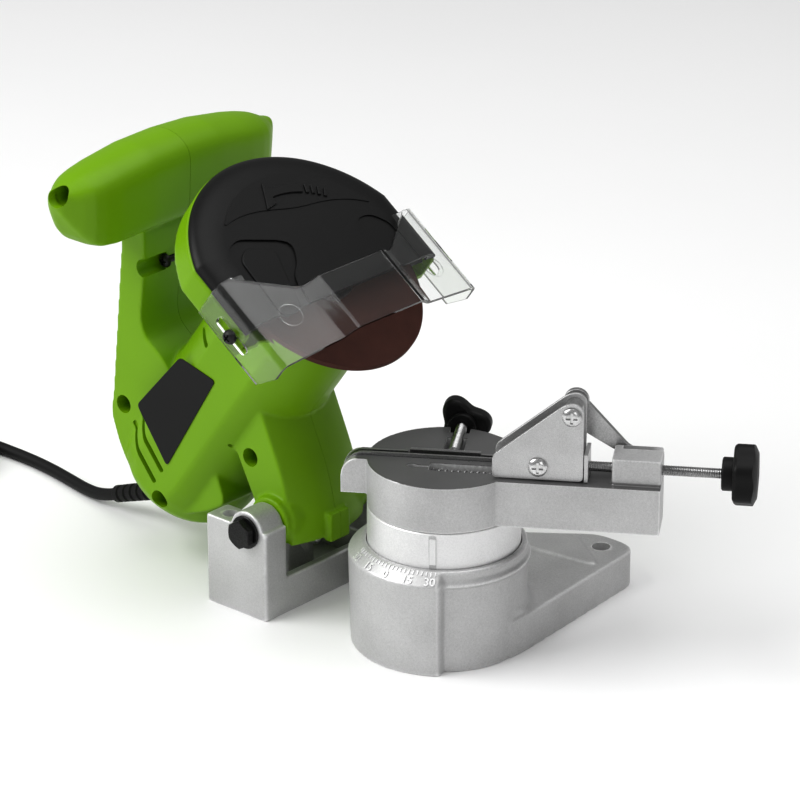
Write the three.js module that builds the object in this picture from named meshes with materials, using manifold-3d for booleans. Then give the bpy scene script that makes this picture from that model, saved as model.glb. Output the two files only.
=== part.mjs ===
// Electric chainsaw sharpener for the bench: a grinding head that tilts down on a hinge, over a
// chain vise that swivels on a cast base. Millimetres, +Z up. While it is built, the origin is on
// the bench under the swivel axis, +X runs from the head's hinge to the vise and +Y along the
// hinge pin. At the end the whole model moves so that its base is centred on the origin.
import * as THREE from 'three';
import { mergeVertices } from 'three/addons/utils/BufferGeometryUtils.js';
import Module from 'manifold-3d';

const wasm = await Module();
wasm.setup();

const rad = THREE.MathUtils.degToRad;
const { PI, cos, sin, sqrt, hypot } = Math;

// Sizes that several pieces share
const gap = 0.3; // between pieces that touch
const overrun = 2; // how far a cut runs past what it cuts
const round_sides = 24;
const small_sides = 12;
const inner_sides = 16;

const screw_crown_shares = [0.7, 0.4]; // a round screw head's flat top and straight side
const lobe_steps = 6; // in one lobe of a knob

// Swivel: the vise's round foot stands in the base's tower
const vise_r = 37;
const swivel_play = 0.5;
const tower_wall = 2.7;
const tower_bore_r = vise_r + swivel_play;
const tower_r = tower_bore_r + tower_wall;

// Base casting
const tower_rim_z = 52.5;
const tower_floor_z = 25;
const tower_floor_thick = 8;
const tower_sides = 36;
const collar_stand = 4.9;
const collar_flare = 1;
const collar_foot_r = tower_r + collar_stand;
const collar_top_r = collar_foot_r + collar_flare;
const collar_bevel_z = 46.9;
const collar_rim_in = 0.6;
const collar_bevel_r = tower_r - collar_rim_in;
const collar_start_deg = -53.5;
const collar_span_deg = 180;
const collar_steps = 8;
const rim_bead_r = 1.6;
const base_top_z = 19.1;
const base_wall = 4;
const hinge_reach = 86.5; // from the swivel axis back to the hinge pin
const hinge_z = 45;
const hinge_bore_r = 4.3;
const lug_ahead = 12.7;
const lug_behind = 27;
const lug_top_z = 47;
const lug_inner_y = 31.1;
const lug_thick = 15.6;
const lug_boss_r = 10.5;
const lug_hole_r = 4;
const lug_hole_behind = 17.5;
const flange_hole_r = 4.6;
const flange_length = 109;
const flange_reach = 41.3;
const flange_shares = [
  [-1.79, 0.22], [-0.73, 0], [0, -0.09], [0.97, -0.03], [1, 0.09], [0.81, 0.955], [0.66, 1], [0.2, 1],
  [-0.42, 0.82], [-1.79, 0.428],
];
const flange_hole_shares = [0.46, 0.895];
const pad_rise = 0.6;
const pad_shares = [[-0.15, 0.66], [0.3, 0.72], [-0.02, 0.93], [-0.38, 0.81]];

// Hinge pin and stop screw
const pin_r = 4;
const pin_hex_flats = 13;
const pin_head_thick = 4.4;
const pin_nut_thick = 8;
const washer_r = 8.4;
const washer_thick = 1.2;
const pin_tail = 3;
const stop_screw_r = 3;
const stop_tip_r = 2.4;
const stop_tip_length = 4;
const stop_tip_shares = [0.6, 0.1];
const stop_slope_deg = 8;
const stop_reach = 81; // from the swivel axis back to the screw's tip
const stop_tip_z = 26.6;
const stop_screw_length = 48;
const stop_block_y = 9;
const stop_block_top_z = 30.6;
const stop_block_long = 20.5;
const stop_washer_r = 7;
const stop_washer_thick = 1.5;
const stop_knob_r = 10;
const stop_knob_thick = 8;
const stop_knob_lobes = 8;
const stop_knob_dip = 1;
const stop_knob_back = 36;
const stop_travel = 8;
const channel_inset = 4;
const channel_deep = 12;

// Head: hinge, column, motor housing, handle
const disc_tilt_deg = 36.17; // the grinding disc's plane above the horizontal
const disc_up = 164.8;
const disc_ahead = 8; // the disc's centre ahead of the hinge pin
const parting_gap = 0.3;
const column_depth = 24;
const column_height = 62;
const column_y = 26;
const column_crown = 6;
const column_foot_r = 13.3;
const column_wall = 2.6;
const column_front_shares = [[0.46, -0.19], [0.5, -0.1], [0.23, 0.34], [-0.52, 1], [-0.77, 1.24]];
const column_back_shares = [[-1.75, 0.95], [-1.21, 0.56], [-0.5, 0.03], [-0.3, -0.17]];
const crown_shares = [-1, -0.6, 0, 0.6, 1];
const hinge_boss_r = 12.4;
const hinge_boss_y = 30.8;
const stop_tab_y = 7;
const stop_tab_depth = 5.2;
const stop_tab_ahead = 14.6;
const stop_tab_drop = 14;
const stop_tab_tall = 17;
const barrel_r = 36;
const barrel_flat_y = 33;
const barrel_length = 166;
const barrel_bore_r = 30;
const barrel_dome_shares = [[0.28, 1], [0.6, 0.982], [0.82, 0.945], [0.95, 0.895], [1, 0.84]];
const barrel_sides = 28;
const guard_r = 72;
const guard_flat_y = 67;
const guard_back = 12;
const guard_plate_thick = 4;
const guard_rim_front = 3.4;
const guard_rim_thick = 3;
const guard_chord = 15; // how far below its centre the guard ends
const guard_sides = 40;
const visor_boss_long = 16;
const visor_boss_tall = 11;
const stem_y = 26;
const bar_back_reach = 203; // from the swivel axis back to the handle's bar
const bar_overhang = 4;
const stem_back_reach = bar_back_reach - bar_overhang;
const stem_front_reach = 120;
const stem_depth = stem_back_reach - stem_front_reach;
const stem_height = 148.5;
const stem_wall = 2.6;
const stem_shares = [
  [0.342, 1], [0.335, 0.859], [0.291, 0.663], [0.323, 0.609], [0.468, 0.556], [0.684, 0.421], [0.899, 0.232],
  [1, 0.098], [0.823, 0.044], [0.6, 0], [0.449, 0.001], [0.335, 0.024], [0.144, 0.111], [0.063, 0.192],
  [0, 0.293], [0.025, 0.345], [0.097, 0.708], [0.139, 0.916], [0.139, 1],
];
const stem_foot_z = 27.5;
const bar_y = 61;
const bar_nose = 15;
// Along the handle from its end to its middle: the place in the nose, the section's size and its drop
const bar_end_shares = [
  [1, 0.15, 0], [0.6, 0.45, 0.07], [0.3, 0.65, 0.09], [0, 0.8, 0.1], [-1, 0.95, 0.075], [-2.5, 1, 0.02], [-4, 1, 0],
];
const bar_depth = 39;
const bar_height = 44;
const bar_floor_z = 174.5;
const bar_shares = [
  [0.14, 0], [0.84, 0], [0.95, 0.09], [1, 0.78], [0.86, 0.92], [0.62, 1], [0.3, 0.97], [0.06, 0.8], [0, 0.35],
];
const bar_wall = 3;
const bar_middle_share = 0.62;
const column_screw_shares = [-0.67, 0.45];
const stem_screw_shares = [0.33, 0.85];
const bar_screw_share = 0.55;
const shell_screw_r = 1.8;
const shell_screw_head_r = 3.6;
const shell_screw_head_thick = 2.4;
const shell_screw_seat_y = 10;
const shell_screw_length = 19;
const screw_well_r = 4.8;
const screw_post_r = 7;
const vent_width = 3;
const vent_length = 33;
const vent_pitch = 9;
const vent_back = 133;
const vent_side = 12;
const vent_slope_deg = 15;
const outlet_back = 57;
const outlet_length = 15;
const outlet_side = 22;
const plate_thick = 0.5;
const plate_length = 65;
const plate_width = 32;
const plate_start = 67;
const plate_shares = [[-0.725, 0.134], [-0.016, 0], [0.131, 0.995], [-0.878, 0.828]];
const plate_gap = 0.05;
const trigger_long = 28;
const trigger_tall = 12;
const trigger_stand = 4.5;
const trigger_travel = 3;
const trigger_drop = 30;
const trigger_deep = 6;
const switch_deep = 14;

// Motor, disc and their fastenings, placed along the disc's axis
const shaft_r = 4;
const bearing_r = 11;
const bearing_wide = 7;
const rear_bearing_r = 9.5;
const rear_bearing_wide = 6;
const front_wall_back = 23;
const rear_wall_front = 119;
const rear_wall_thick = 9;
const stator_front = 45;
const stator_length = 40;
const stator_bore_r = 17;
const winding_thick = 8;
const winding_inner_r = 18.5;
const winding_outer_r = 27;
const core_r = 16.4;
const core_sides = 36;
const core_slots = 12;
const core_slot_depth = 4;
const winding_r = 13.5;
const winding_long = 9;
const commutator_r = 9.6;
const commutator_front = 99;
const commutator_long = 13;
const brush_wide = 6;
const brush_long = 11;
const brush_tall = 5;
const holder_wall = 1.6;
const fan_r = 27;
const fan_front = 25;
const fan_tall = 9;
const fan_hub_r = 10;
const fan_blades = 7;
const fan_blade_thick = 1.6;
const fan_plate_thick = 1.6;
const disc_r = 54;
const disc_thick = 3.2;
const disc_bore_r = 11.5;
const flange_r = 15;
const flange_thick = 2.4;
const nut_flats = 13;
const nut_thick = 3.3;
const cover_r = 71.5;
const cover_flat_y = 66.6;
const cover_back = 3.7;
const cover_chord = 14;
const cover_wall = 2.4;
const cover_tall = 7.3;
const cover_shares = [[1, 0], [1, 0.3], [0.975, 0.62], [0.92, 0.84], [0.85, 0.93], [0.4, 1]];
const visor_thick = 2;
const visor_top = -12;
const visor_foot = 40;
const visor_wing_y = guard_flat_y + gap + visor_thick;
const visor_shoulder_n = 12.5;
const visor_valley_y = 31;
const visor_valley_n = 17.6;
const visor_crest_y = 23;
const visor_crest_n = 22.5;
const visor_wing_foot_n = -9.5;
const visor_notch = 7.6;
const visor_notch_share = 0.88;
const visor_corner_share = 0.2;
const visor_slot_length = 22;
const visor_slot_width = 5;
const visor_screw_m = 9;
const visor_screw_n = -2.2;
const visor_screw_r = 2;
const visor_screw_head_r = 3.6;
const visor_screw_head_thick = 3.2;

// Vise, in its own frame with +X along the arm and +Y to the clamp screw
const vise_turn_deg = 33;
const vise_top_z = 94.1;
const vise_seam_z = 70.9;
const seam_gap = 0.3;
const ring_wall = 6;
const ring_deck = 9;
const ring_hub_r = 11;
const index_wide = 3;
const index_tall = 13.6;
const index_deg = -57.8;
const index_rise = 0.5;
const arm_front_y = -24.5;
const arm_long = 67.8; // beyond the round table
const arm_end_x = vise_r + arm_long;
const nub_long = 12;
const nub_end_x = -vise_r - nub_long;
const nub_front_y = -7;
const nub_floor_z = 76;
const nub_round_r = 9;
const rail_thick = 1.4;
const rail_foot_z = 85;
const rail_top_z = 96;
const chain_slot = 1.6;
const rail_round_steps = 6;
const rail_break_x = 17.2;
const jaw_thick = 2.6;
const jaw_travel = 2;
const groove_front_y = -16;
const groove_back_y = -7;
const groove_start_x = -6;
const groove_floor_z = 84.5;
const drop_length = 8;
const drop_r = 2.6;
const vise_spring_r = 3.3;
const vise_spring_wire = 1;
const vise_spring_curls = 14;
const spring_steps = 8; // in one curl
const spring_sides = 5;
const vise_spring_start_x = -5;
const vise_spring_end_x = 39.6;
const channel_x = 3;
const channel_width = 10;
const channel_floor_z = 85.2;
const clamp_rod_r = 2.8;
const clamp_rod_z = 92.5;
const clamp_tip_shares = [0.7, 0.3];
const clamp_nut_y = 24;
const clamp_nut_thick = 6;
const clamp_knob_clear = 5.6; // from the round table
const clamp_knob_y = vise_r + clamp_knob_clear;
const clamp_knob_thick = 9;
const clamp_knob_long = 14;
const clamp_knob_short = 9;
const clamp_hub_r = 7;
const clamp_hub_thick = 3;
const carriage_start_x = 25.2;
const carriage_end_x = 68.2;
const carriage_foot_z = 94.6;
const carriage_tall = 39.4;
const cheek_thick = 1.8;
const cheek_front_y = -21;
const cheek_shares = [[0, 0], [1, 0], [1, 0.9], [0.97, 0.96], [0.9, 1], [0.82, 0.985], [0.76, 0.955], [0, 0.28]];
const carriage_back_y = -5.6;
const axle_x = 62.6;
const axle_z = 127.4;
const axle_r = 2.5;
const axle_head_r = 4.6;
const axle_head_thick = 2;
const axle_cross_shares = [0.6, 0.5, 0.12];
const axle_nut_share = 0.9;
const axle_length = 26;
const tie_x = 46.9;
const tie_z = 101.2;
const pawl_thick = 3;
const pawl_hub_r = 6;
const pawl_length = 33;
const pawl_drop = 23.6;
const pawl_shares = [[-0.17, 0.02], [0.13, 0.06], [0.76, -0.9], [0.93, -1.02], [0.56, -1], [0.14, -0.66]];
const feed_y = -12;
const feed_z = 99.3;
const feed_r = 2.5;
const feed_plate_x = 68.6;
const feed_plate_thick = 1.8;
const feed_plate_top_z = 108.4;
const feed_knob_stand = 27.8; // from the arm's end
const feed_knob_x = arm_end_x + feed_knob_stand;
const feed_collar_r = 8;
const feed_collar_thick = 5.4;
const feed_knob_r = 15.3;
const feed_knob_thick = 12;
const feed_dome_shares = [[1, 0.75], [0.72, 0.96]];
const feed_knob_lobes = 6;
const feed_knob_dip = 1.6;
const block_long = 23.3;
const block_start_x = arm_end_x - block_long;
const block_front_y = -21;
const block_top_z = 107;
const block_groove_deep = 2;
const block_groove_wide = 4;
const swivel_head_r = 8;
const swivel_head_thick = 4;
const lock_knob_r = 17;
const lock_knob_thick = 12;
const lock_knob_lobes = 5;
const lock_knob_dip = 2.4;

// Cord
const cord_r = 3.2;
const relief_root_r = 5.2;
const relief_tip_r = 4.5;
const relief_length = 66;
const relief_ribs = 12;
const relief_rib_depth = 0.8;
const relief_rib_share = 0.95;
const relief_inset = 38.6; // from the housing's back
const relief_start_x = relief_inset - stem_back_reach;
const relief_start_z = 31.8;
const relief_fall_deg = 20;
const relief_flange_r = 8;
const relief_flange_thick = 3;
const relief_sides = 10;
const cord_sides = 8;
const cord_steps = 12;
// The cord's route to the coil, with X measured from the strain relief's tip
const cord_route = [
  [-0.3, 0, 9.2], [-6.9, 0, 6.8], [-15.6, 0.8, 4.7], [-26.6, 2.6, 3.6], [-39.6, 5.2, 3.4], [-53.6, 7.8, 3.4],
  [-67.6, 9.6, 3.4], [-79.6, 10.4, 3.4], [-90.6, 10.6, 3.4], [-101.6, 10.6, 3.4], [-112.6, 10.6, 3.4],
  [-122.6, 10.6, 3.4],
];
const coil_turns = 3; // in each of its two layers
const coil_outer_r = 50;
const coil_pitch = 8;
const coil_steps = 24; // in one turn
const coil_wire_sides = 6;
const coil_rise = 8;
const coil_lead = 7;
const coil_tail = 42;
const plug_long = 34;
const plug_r = 10;
const plug_wide_share = 1.4;
const plug_neck_share = 0.5;
const plug_pin_r = 2.4;
const plug_pin_long = 19;
const plug_pin_apart = 19;
const plug_pin_sides = 10;

// Materials
function material(color, roughness, metalness) {
  return new THREE.MeshStandardMaterial({ color, roughness, metalness });
}
const green = material('#8bbf00', 0.45, 0);
const black = material('#1d1d1f', 0.6, 0);
const cast = material('#b9b9b7', 0.45, 0.9);
const steel = material('#a8a9aa', 0.3, 1);
const dark_steel = material('#202124', 0.4, 0.8);
const copper = material('#a8572c', 0.4, 0.9);
const grit = material('#4e2a22', 0.9, 0);
const rubber = material('#161617', 0.8, 0);
const clear = new THREE.MeshStandardMaterial({ color: '#e8eeee', roughness: 0.1, transparent: true, opacity: 0.35 });

// Solids: closed geometries, and cuts and joins of them
function solid(geometry) {
  const bare = geometry.clone();
  bare.deleteAttribute('normal');
  bare.deleteAttribute('uv');
  const welded = mergeVertices(bare);
  const vertProperties = Float32Array.from(welded.attributes.position.array);
  const triVerts = Uint32Array.from(welded.index.array);
  return new wasm.Manifold(new wasm.Mesh({ numProp: 3, vertProperties, triVerts }));
}

function geometryOf(body) {
  const { vertProperties, triVerts, numProp } = body.getMesh();
  const positions = new Float32Array((vertProperties.length / numProp) * 3);
  for (let i = 0; i < positions.length / 3; i += 1) {
    for (let k = 0; k < 3; k += 1) positions[3 * i + k] = vertProperties[numProp * i + k];
  }
  const geometry = new THREE.BufferGeometry();
  geometry.setAttribute('position', new THREE.BufferAttribute(positions, 3));
  geometry.setIndex(new THREE.BufferAttribute(Uint32Array.from(triVerts), 1));
  return geometry;
}

function join(...geometries) {
  return geometryOf(geometries.map(solid).reduce((a, b) => a.add(b)));
}

function cut(geometry, ...tools) {
  return geometryOf(tools.map(solid).reduce((a, b) => a.subtract(b), solid(geometry)));
}

function common(a, b) {
  return geometryOf(solid(a).intersect(solid(b)));
}

// A box between two corners
function box(x0, x1, y0, y1, z0, z1) {
  const geometry = new THREE.BoxGeometry(x1 - x0, y1 - y0, z1 - z0);
  return geometry.translate((x0 + x1) / 2, (y0 + y1) / 2, (z0 + z1) / 2);
}

// A round bar along Z, or along X or Y, from one end to the other
function bar(r, start, end, sides = small_sides) {
  const geometry = new THREE.CylinderGeometry(r, r, end - start, sides);
  return geometry.rotateX(PI / 2).translate(0, 0, (start + end) / 2);
}

function alongX(geometry) {
  return geometry.rotateY(PI / 2);
}

function alongY(geometry) {
  return geometry.rotateX(-PI / 2);
}

function at(geometry, x, y, z) {
  return geometry.translate(x, y, z);
}

// A turned body about Z, from [radius, height] points that go round the half section
function turned(points, sides = round_sides) {
  const profile = points.map(([r, h]) => new THREE.Vector2(r, h));
  return new THREE.LatheGeometry(profile, sides).rotateX(PI / 2);
}

function ring(inner, outer, start, end, sides = round_sides) {
  return turned([[inner, start], [outer, start], [outer, end], [inner, end], [inner, start]], sides);
}

// A flat plate along Z from an outline of [x, y] points
function plate(points, start, end) {
  const shape = new THREE.Shape(points.map(([x, y]) => new THREE.Vector2(x, y)));
  const geometry = new THREE.ExtrudeGeometry(shape, { depth: end - start, bevelEnabled: false });
  return geometry.translate(0, 0, start);
}

// A plate that stands along Y from an outline of [x, z] points
function upright(points, start, end) {
  return plate(points.map(([x, z]) => [x, -z]), start, end).rotateX(-PI / 2);
}

// A hexagonal prism along Z, from its size across flats
function hexagon(flats, start, end) {
  return bar(flats / sqrt(3), start, end, 6);
}

// A body across Y whose [x, z] outline bulges towards +X by its crown in the middle
function crowned(points, half, crown) {
  const rows = crown_shares.map((share) => {
    const bulge = crown * (1 - share * share);
    return points.map(([x, z, lead]) => [x + bulge * lead, half * share, z]);
  });
  return loft(rows);
}

// A closed body through rows of points from -Y to +Y, each row a loop in a plane across Y
function loft(given) {
  const turn = THREE.ShapeUtils.area(given[0].map(([x, , z]) => new THREE.Vector2(x, z)));
  const rows = turn < 0 ? given.map((row) => [...row].reverse()) : given;
  const count = rows[0].length;
  const index = [];
  for (let j = 0; j + 1 < rows.length; j += 1) {
    for (let i = 0; i < count; i += 1) {
      const a = j * count + i;
      const b = j * count + ((i + 1) % count);
      index.push(a, b + count, b, a, a + count, b + count);
    }
  }
  const outline = rows[0].map(([x, , z]) => new THREE.Vector2(x, z));
  const last = (rows.length - 1) * count;
  for (const [a, b, c] of THREE.ShapeUtils.triangulateShape(outline, [])) {
    index.push(a, b, c);
    index.push(last + a, last + c, last + b);
  }
  const geometry = new THREE.BufferGeometry();
  geometry.setAttribute('position', new THREE.Float32BufferAttribute(rows.flat(2), 3));
  geometry.setIndex(index);
  return geometry;
}

// A tube of round section through points, each end square to its stretch
function tube(points, r, sides) {
  const rows = points.map((point, i) => {
    const before = points[Math.max(i - 1, 0)];
    const after = points[Math.min(i + 1, points.length - 1)];
    return { point, along: after.clone().sub(before).normalize() };
  });
  const normal = new THREE.Vector3(0, 0, 1);
  const positions = [];
  for (const { point, along } of rows) {
    normal.addScaledVector(along, -normal.dot(along)).normalize();
    const side = along.clone().cross(normal);
    for (let k = 0; k < sides; k += 1) {
      const turn = (2 * PI * k) / sides;
      positions.push(...point.clone().addScaledVector(normal, r * cos(turn)).addScaledVector(side, r * sin(turn)));
    }
  }
  const index = [];
  for (let j = 0; j + 1 < rows.length; j += 1) {
    for (let k = 0; k < sides; k += 1) {
      const a = j * sides + k;
      const b = j * sides + ((k + 1) % sides);
      index.push(a, b, b + sides, a, b + sides, a + sides);
    }
  }
  const last = (rows.length - 1) * sides;
  for (let k = 1; k + 1 < sides; k += 1) {
    index.push(0, k + 1, k);
    index.push(last, last + k, last + k + 1);
  }
  const geometry = new THREE.BufferGeometry();
  geometry.setAttribute('position', new THREE.Float32BufferAttribute(positions, 3));
  geometry.setIndex(index);
  return geometry;
}

const model = new THREE.Group();
const cord_names = ['power_cord', 'cord_coil', 'plug'];

function piece(parent, name, geometry, paint) {
  const mesh = new THREE.Mesh(geometry, paint);
  mesh.name = name;
  parent.add(mesh);
  return mesh;
}

// An outline moved inwards by a wall's thickness, for outlines that run anticlockwise
function inset(points, wall) {
  const turnedRound = THREE.ShapeUtils.area(points.map(([x, y]) => new THREE.Vector2(x, y))) < 0 ? -1 : 1;
  const normals = points.map(([x, y], i) => {
    const [u, v] = points[(i + 1) % points.length];
    const length = hypot(u - x, v - y);
    return [(-turnedRound * (v - y)) / length, (turnedRound * (u - x)) / length];
  });
  return points.map(([x, y], i) => {
    const [a, b] = normals[(i + points.length - 1) % points.length];
    const [c, d] = normals[i];
    const spread = wall / (1 + a * c + b * d);
    return [x + (a + c) * spread, y + (b + d) * spread];
  });
}

// A sector of a circle, as an outline
function sector(r, start_deg, end_deg, steps) {
  const points = [[0, 0]];
  for (let i = 0; i <= steps; i += 1) {
    const turn = rad(start_deg + ((end_deg - start_deg) * i) / steps);
    points.push([r * cos(turn), r * sin(turn)]);
  }
  return points;
}

// A knob's lobed outline
function lobed(r, dip, lobes) {
  const steps = lobes * lobe_steps;
  return Array.from({ length: steps }, (_, i) => {
    const turn = (2 * PI * i) / steps;
    const reach = r - (dip * (1 - cos(lobes * turn))) / 2;
    return [reach * cos(turn), reach * sin(turn)];
  });
}

// Base casting: two lugs for the hinge pin on a channelled crossbar, a round tower, and a wide foot
const lug_outer_y = lug_inner_y + lug_thick;
const lug_back_x = -hinge_reach - lug_behind;
const lug_front_x = -hinge_reach + lug_ahead;
const flange_outline = flange_shares.map(([u, v]) => [u * flange_reach, v * flange_length]);
const tower_web_z = tower_floor_z - tower_floor_thick;
const swivel_r = 5;
function baseCasting() {
  const crossbar = box(lug_back_x, lug_front_x, -lug_outer_y, lug_outer_y, 0, base_top_z);
  const lugs = [-1, 1].map((side) => {
    const middle = (side * (lug_inner_y + lug_outer_y)) / 2;
    const block = box(lug_back_x, lug_front_x, middle - lug_thick / 2, middle + lug_thick / 2, 0, lug_top_z);
    const boss = alongY(bar(lug_boss_r, middle - lug_thick / 2, middle + lug_thick / 2, round_sides));
    return join(block, at(boss, -hinge_reach, 0, hinge_z));
  });
  const foot = plate(flange_outline, 0, base_top_z);
  const pad_outline = pad_shares.map(([u, v]) => [u * flange_length, v * flange_length]);
  const pad = common(plate(pad_outline, base_top_z - base_wall, base_top_z + pad_rise), plate(flange_outline, 0, lug_top_z));
  const tower = bar(tower_r, 0, tower_rim_z, tower_sides);
  const bead = ring(tower_r - base_wall / 2, tower_r + rim_bead_r, collar_bevel_z - rim_bead_r, collar_bevel_z, tower_sides);
  const cone = turned([
    [0, 0], [collar_foot_r, 0], [collar_top_r, collar_bevel_z], [collar_bevel_r, tower_rim_z], [0, tower_rim_z],
  ], tower_sides);
  const arc = sector(2 * collar_top_r, collar_start_deg - collar_span_deg, collar_start_deg, collar_steps);
  const wedge = plate(arc, 0, tower_rim_z);
  const block = box(lug_back_x, lug_back_x + stop_block_long, -stop_block_y, stop_block_y, 0, stop_block_top_z);
  const body = join(crossbar, ...lugs, foot, pad, tower, bead, common(cone, wedge));
  const channel = box(
    lug_back_x + channel_inset, lug_front_x - channel_inset, -lug_inner_y + channel_inset / 2,
    lug_inner_y - channel_inset / 2, base_top_z - channel_deep, base_top_z + overrun,
  );
  const bore = bar(tower_bore_r, tower_floor_z, tower_rim_z + overrun, tower_sides);
  const cellar = bar(tower_bore_r - base_wall, -overrun, tower_web_z, tower_sides);
  const under = plate(inset(flange_outline, base_wall), -overrun, base_top_z - base_wall);
  const rim = bar(tower_r, -2 * overrun, base_top_z, tower_sides);
  const bar_end = box(lug_back_x, lug_front_x, -lug_outer_y, lug_outer_y, -2 * overrun, base_top_z);
  const hole_x = flange_hole_shares[0] * flange_reach;
  const hole_y = flange_hole_shares[1] * flange_length;
  const hole_boss = at(bar(flange_hole_r + base_wall, -2 * overrun, base_top_z), hole_x, hole_y, 0);
  const pin_bore = at(alongY(bar(hinge_bore_r, -lug_outer_y - overrun, lug_outer_y + overrun)), -hinge_reach, 0, hinge_z);
  const lug_holes = [-1, 1].map((side) => at(
    bar(lug_hole_r, -overrun, lug_top_z + overrun, small_sides),
    -hinge_reach - lug_hole_behind, (side * (lug_inner_y + lug_outer_y)) / 2, 0,
  ));
  const hollowed = cut(
    body, channel, bore, cellar, cut(under, rim, bar_end, hole_boss), pin_bore, ...lug_holes,
    bar(swivel_r + gap, -overrun, tower_rim_z), at(bar(flange_hole_r, -overrun, base_top_z + overrun), hole_x, hole_y, 0),
  );
  return cut(join(hollowed, block), stopLine(alongX(bar(stop_screw_r + gap, -2 * stop_screw_length, stop_screw_length))));
}

// The stop screw's own frame starts at its tip and runs up the slope
function stopLine(geometry) {
  return at(geometry.rotateY(-rad(stop_slope_deg)), -stop_reach, 0, stop_tip_z);
}

piece(model, 'base_casting', baseCasting(), cast);

// Hinge pin: a bolt through both lugs with a washer at each end and a nut at the far end
const washer_far = lug_outer_y + gap + washer_thick;
const pin_end_y = washer_far + gap + pin_nut_thick + pin_tail;
const pin_head = at(hexagon(pin_hex_flats, 0, pin_head_thick), 0, 0, -washer_far - gap - pin_head_thick);
const pin = join(pin_head, bar(pin_r, -washer_far - gap - pin_head_thick / 2, pin_end_y));
function onHinge(geometry) {
  return at(alongY(geometry), -hinge_reach, 0, hinge_z);
}
piece(model, 'pivot_bolt', onHinge(pin), dark_steel);
piece(model, 'pivot_washer_front', onHinge(ring(hinge_bore_r, washer_r, -washer_far, -washer_far + washer_thick)), steel);
piece(model, 'pivot_washer_rear', onHinge(ring(hinge_bore_r, washer_r, lug_outer_y + gap, washer_far)), steel);
const pin_nut = cut(
  hexagon(pin_hex_flats, washer_far + gap, washer_far + gap + pin_nut_thick), bar(pin_r + gap, 0, 2 * lug_outer_y),
);
piece(model, 'pivot_nut', onHinge(pin_nut), dark_steel);

// Depth stop: a screw with a rounded tip in the crossbar's block, its lock washer and its knob
const stop = new THREE.Group();
stop.position.set(-stop_reach, 0, stop_tip_z);
stop.rotation.y = -rad(stop_slope_deg);
model.add(stop);
const stop_rod = turned([
  [0, 0], [stop_tip_r * stop_tip_shares[0], -stop_tip_length * stop_tip_shares[1]], [stop_tip_r, -stop_tip_length / 2], [stop_tip_r, -stop_tip_length],
  [stop_screw_r, -stop_tip_length], [stop_screw_r, -stop_knob_back - stop_knob_thick / 2],
  [0, -stop_knob_back - stop_knob_thick / 2],
].reverse(), small_sides);
piece(stop, 'depth_screw', alongX(stop_rod), steel);
const stop_knob = cut(
  plate(lobed(stop_knob_r, stop_knob_dip, stop_knob_lobes), -stop_knob_back - stop_knob_thick, -stop_knob_back),
  bar(stop_screw_r + gap, -stop_knob_back - stop_knob_thick / 2 - gap, 0),
);
piece(stop, 'depth_knob', alongX(stop_knob), black);
const stop_washer_at = -stop_knob_back + gap;
const stop_washer = ring(stop_screw_r + gap, stop_washer_r, stop_washer_at, stop_washer_at + stop_washer_thick, small_sides);
piece(stop, 'depth_washer', alongX(stop_washer), steel);

// Head: the grinding spindle's frame has its origin at the disc's centre, +Z along the spindle
// away from the motor, and +X down across the disc towards the vise
const head = new THREE.Group();
model.add(head);
const disc_x = -hinge_reach + disc_ahead;
const spindle = new THREE.Group();
spindle.position.set(disc_x, 0, disc_up);
spindle.rotation.y = rad(disc_tilt_deg);
head.add(spindle);
function onSpindle(geometry) {
  return at(geometry.rotateY(rad(disc_tilt_deg)), disc_x, 0, disc_up);
}

// Housing outlines, seen from the side
function columnOutline(wall) {
  const front = column_front_shares.map(([u, v]) => [u * column_depth, v * column_height]);
  const back = column_back_shares.map(([u, v]) => [u * column_depth, v * column_height]);
  const points = [...front, ...back];
  const drawn = wall ? inset(points, wall) : points;
  return drawn.map(([x, z], i) => [x - hinge_reach, z + hinge_z, i < front.length ? 1 : 0]);
}
const stem_outline = stem_shares.map(([u, v]) => [u * stem_depth - stem_back_reach, v * stem_height + stem_foot_z]);
const bar_outline = bar_shares.map(([u, v]) => [u * bar_depth - bar_back_reach, v * bar_height + bar_floor_z]);
function handleBar(wall) {
  const points = wall ? inset(bar_outline, wall) : bar_outline;
  const centre_x = bar_depth / 2 - bar_back_reach;
  const centre_z = bar_height * bar_middle_share + bar_floor_z;
  const half = bar_end_shares.map(([share, size, drop]) => [
    bar_y - wall + (bar_nose - wall / 2) * share, size, bar_height * drop,
  ]);
  half[half.length - 1][0] = 0;
  const ends = [...half.map(([y, size, drop]) => [-y, size, drop]), ...half.slice(0, -1).reverse()];
  return loft(ends.map(([y, size, drop]) => points.map(([x, z]) => [
    centre_x + (x - centre_x) * size, y, centre_z + (z - centre_z) * size - drop,
  ])));
}
function barrel(r, flat_y, start, end) {
  const points = [[0, start], [r, start]];
  for (const [across, back] of [...barrel_dome_shares].reverse()) points.push([r * across, end * back]);
  const body = turned([...points, [0, end]].map(([x, z]) => [x, -z]).reverse(), barrel_sides);
  return common(body, box(-2 * r, 2 * r, -flat_y, flat_y, -end - overrun, overrun - start));
}

// The places of the shell's screws, seen from the side
const shell_screws = {
  column: [column_depth * column_screw_shares[0] - hinge_reach, column_height * column_screw_shares[1] + hinge_z],
  belly: [stem_depth / 2 - stem_back_reach, stem_foot_z + screw_post_r + column_wall / 2],
  back: [screw_post_r + column_wall - stem_back_reach, stem_foot_z + stem_height / 3],
  stem: [stem_depth * stem_screw_shares[0] - stem_back_reach, stem_foot_z + stem_height * stem_screw_shares[1]],
  bar: [bar_depth * bar_screw_share - bar_back_reach, bar_floor_z + bar_height * bar_middle_share],
};
const screw_places = Object.values(shell_screws);

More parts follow.
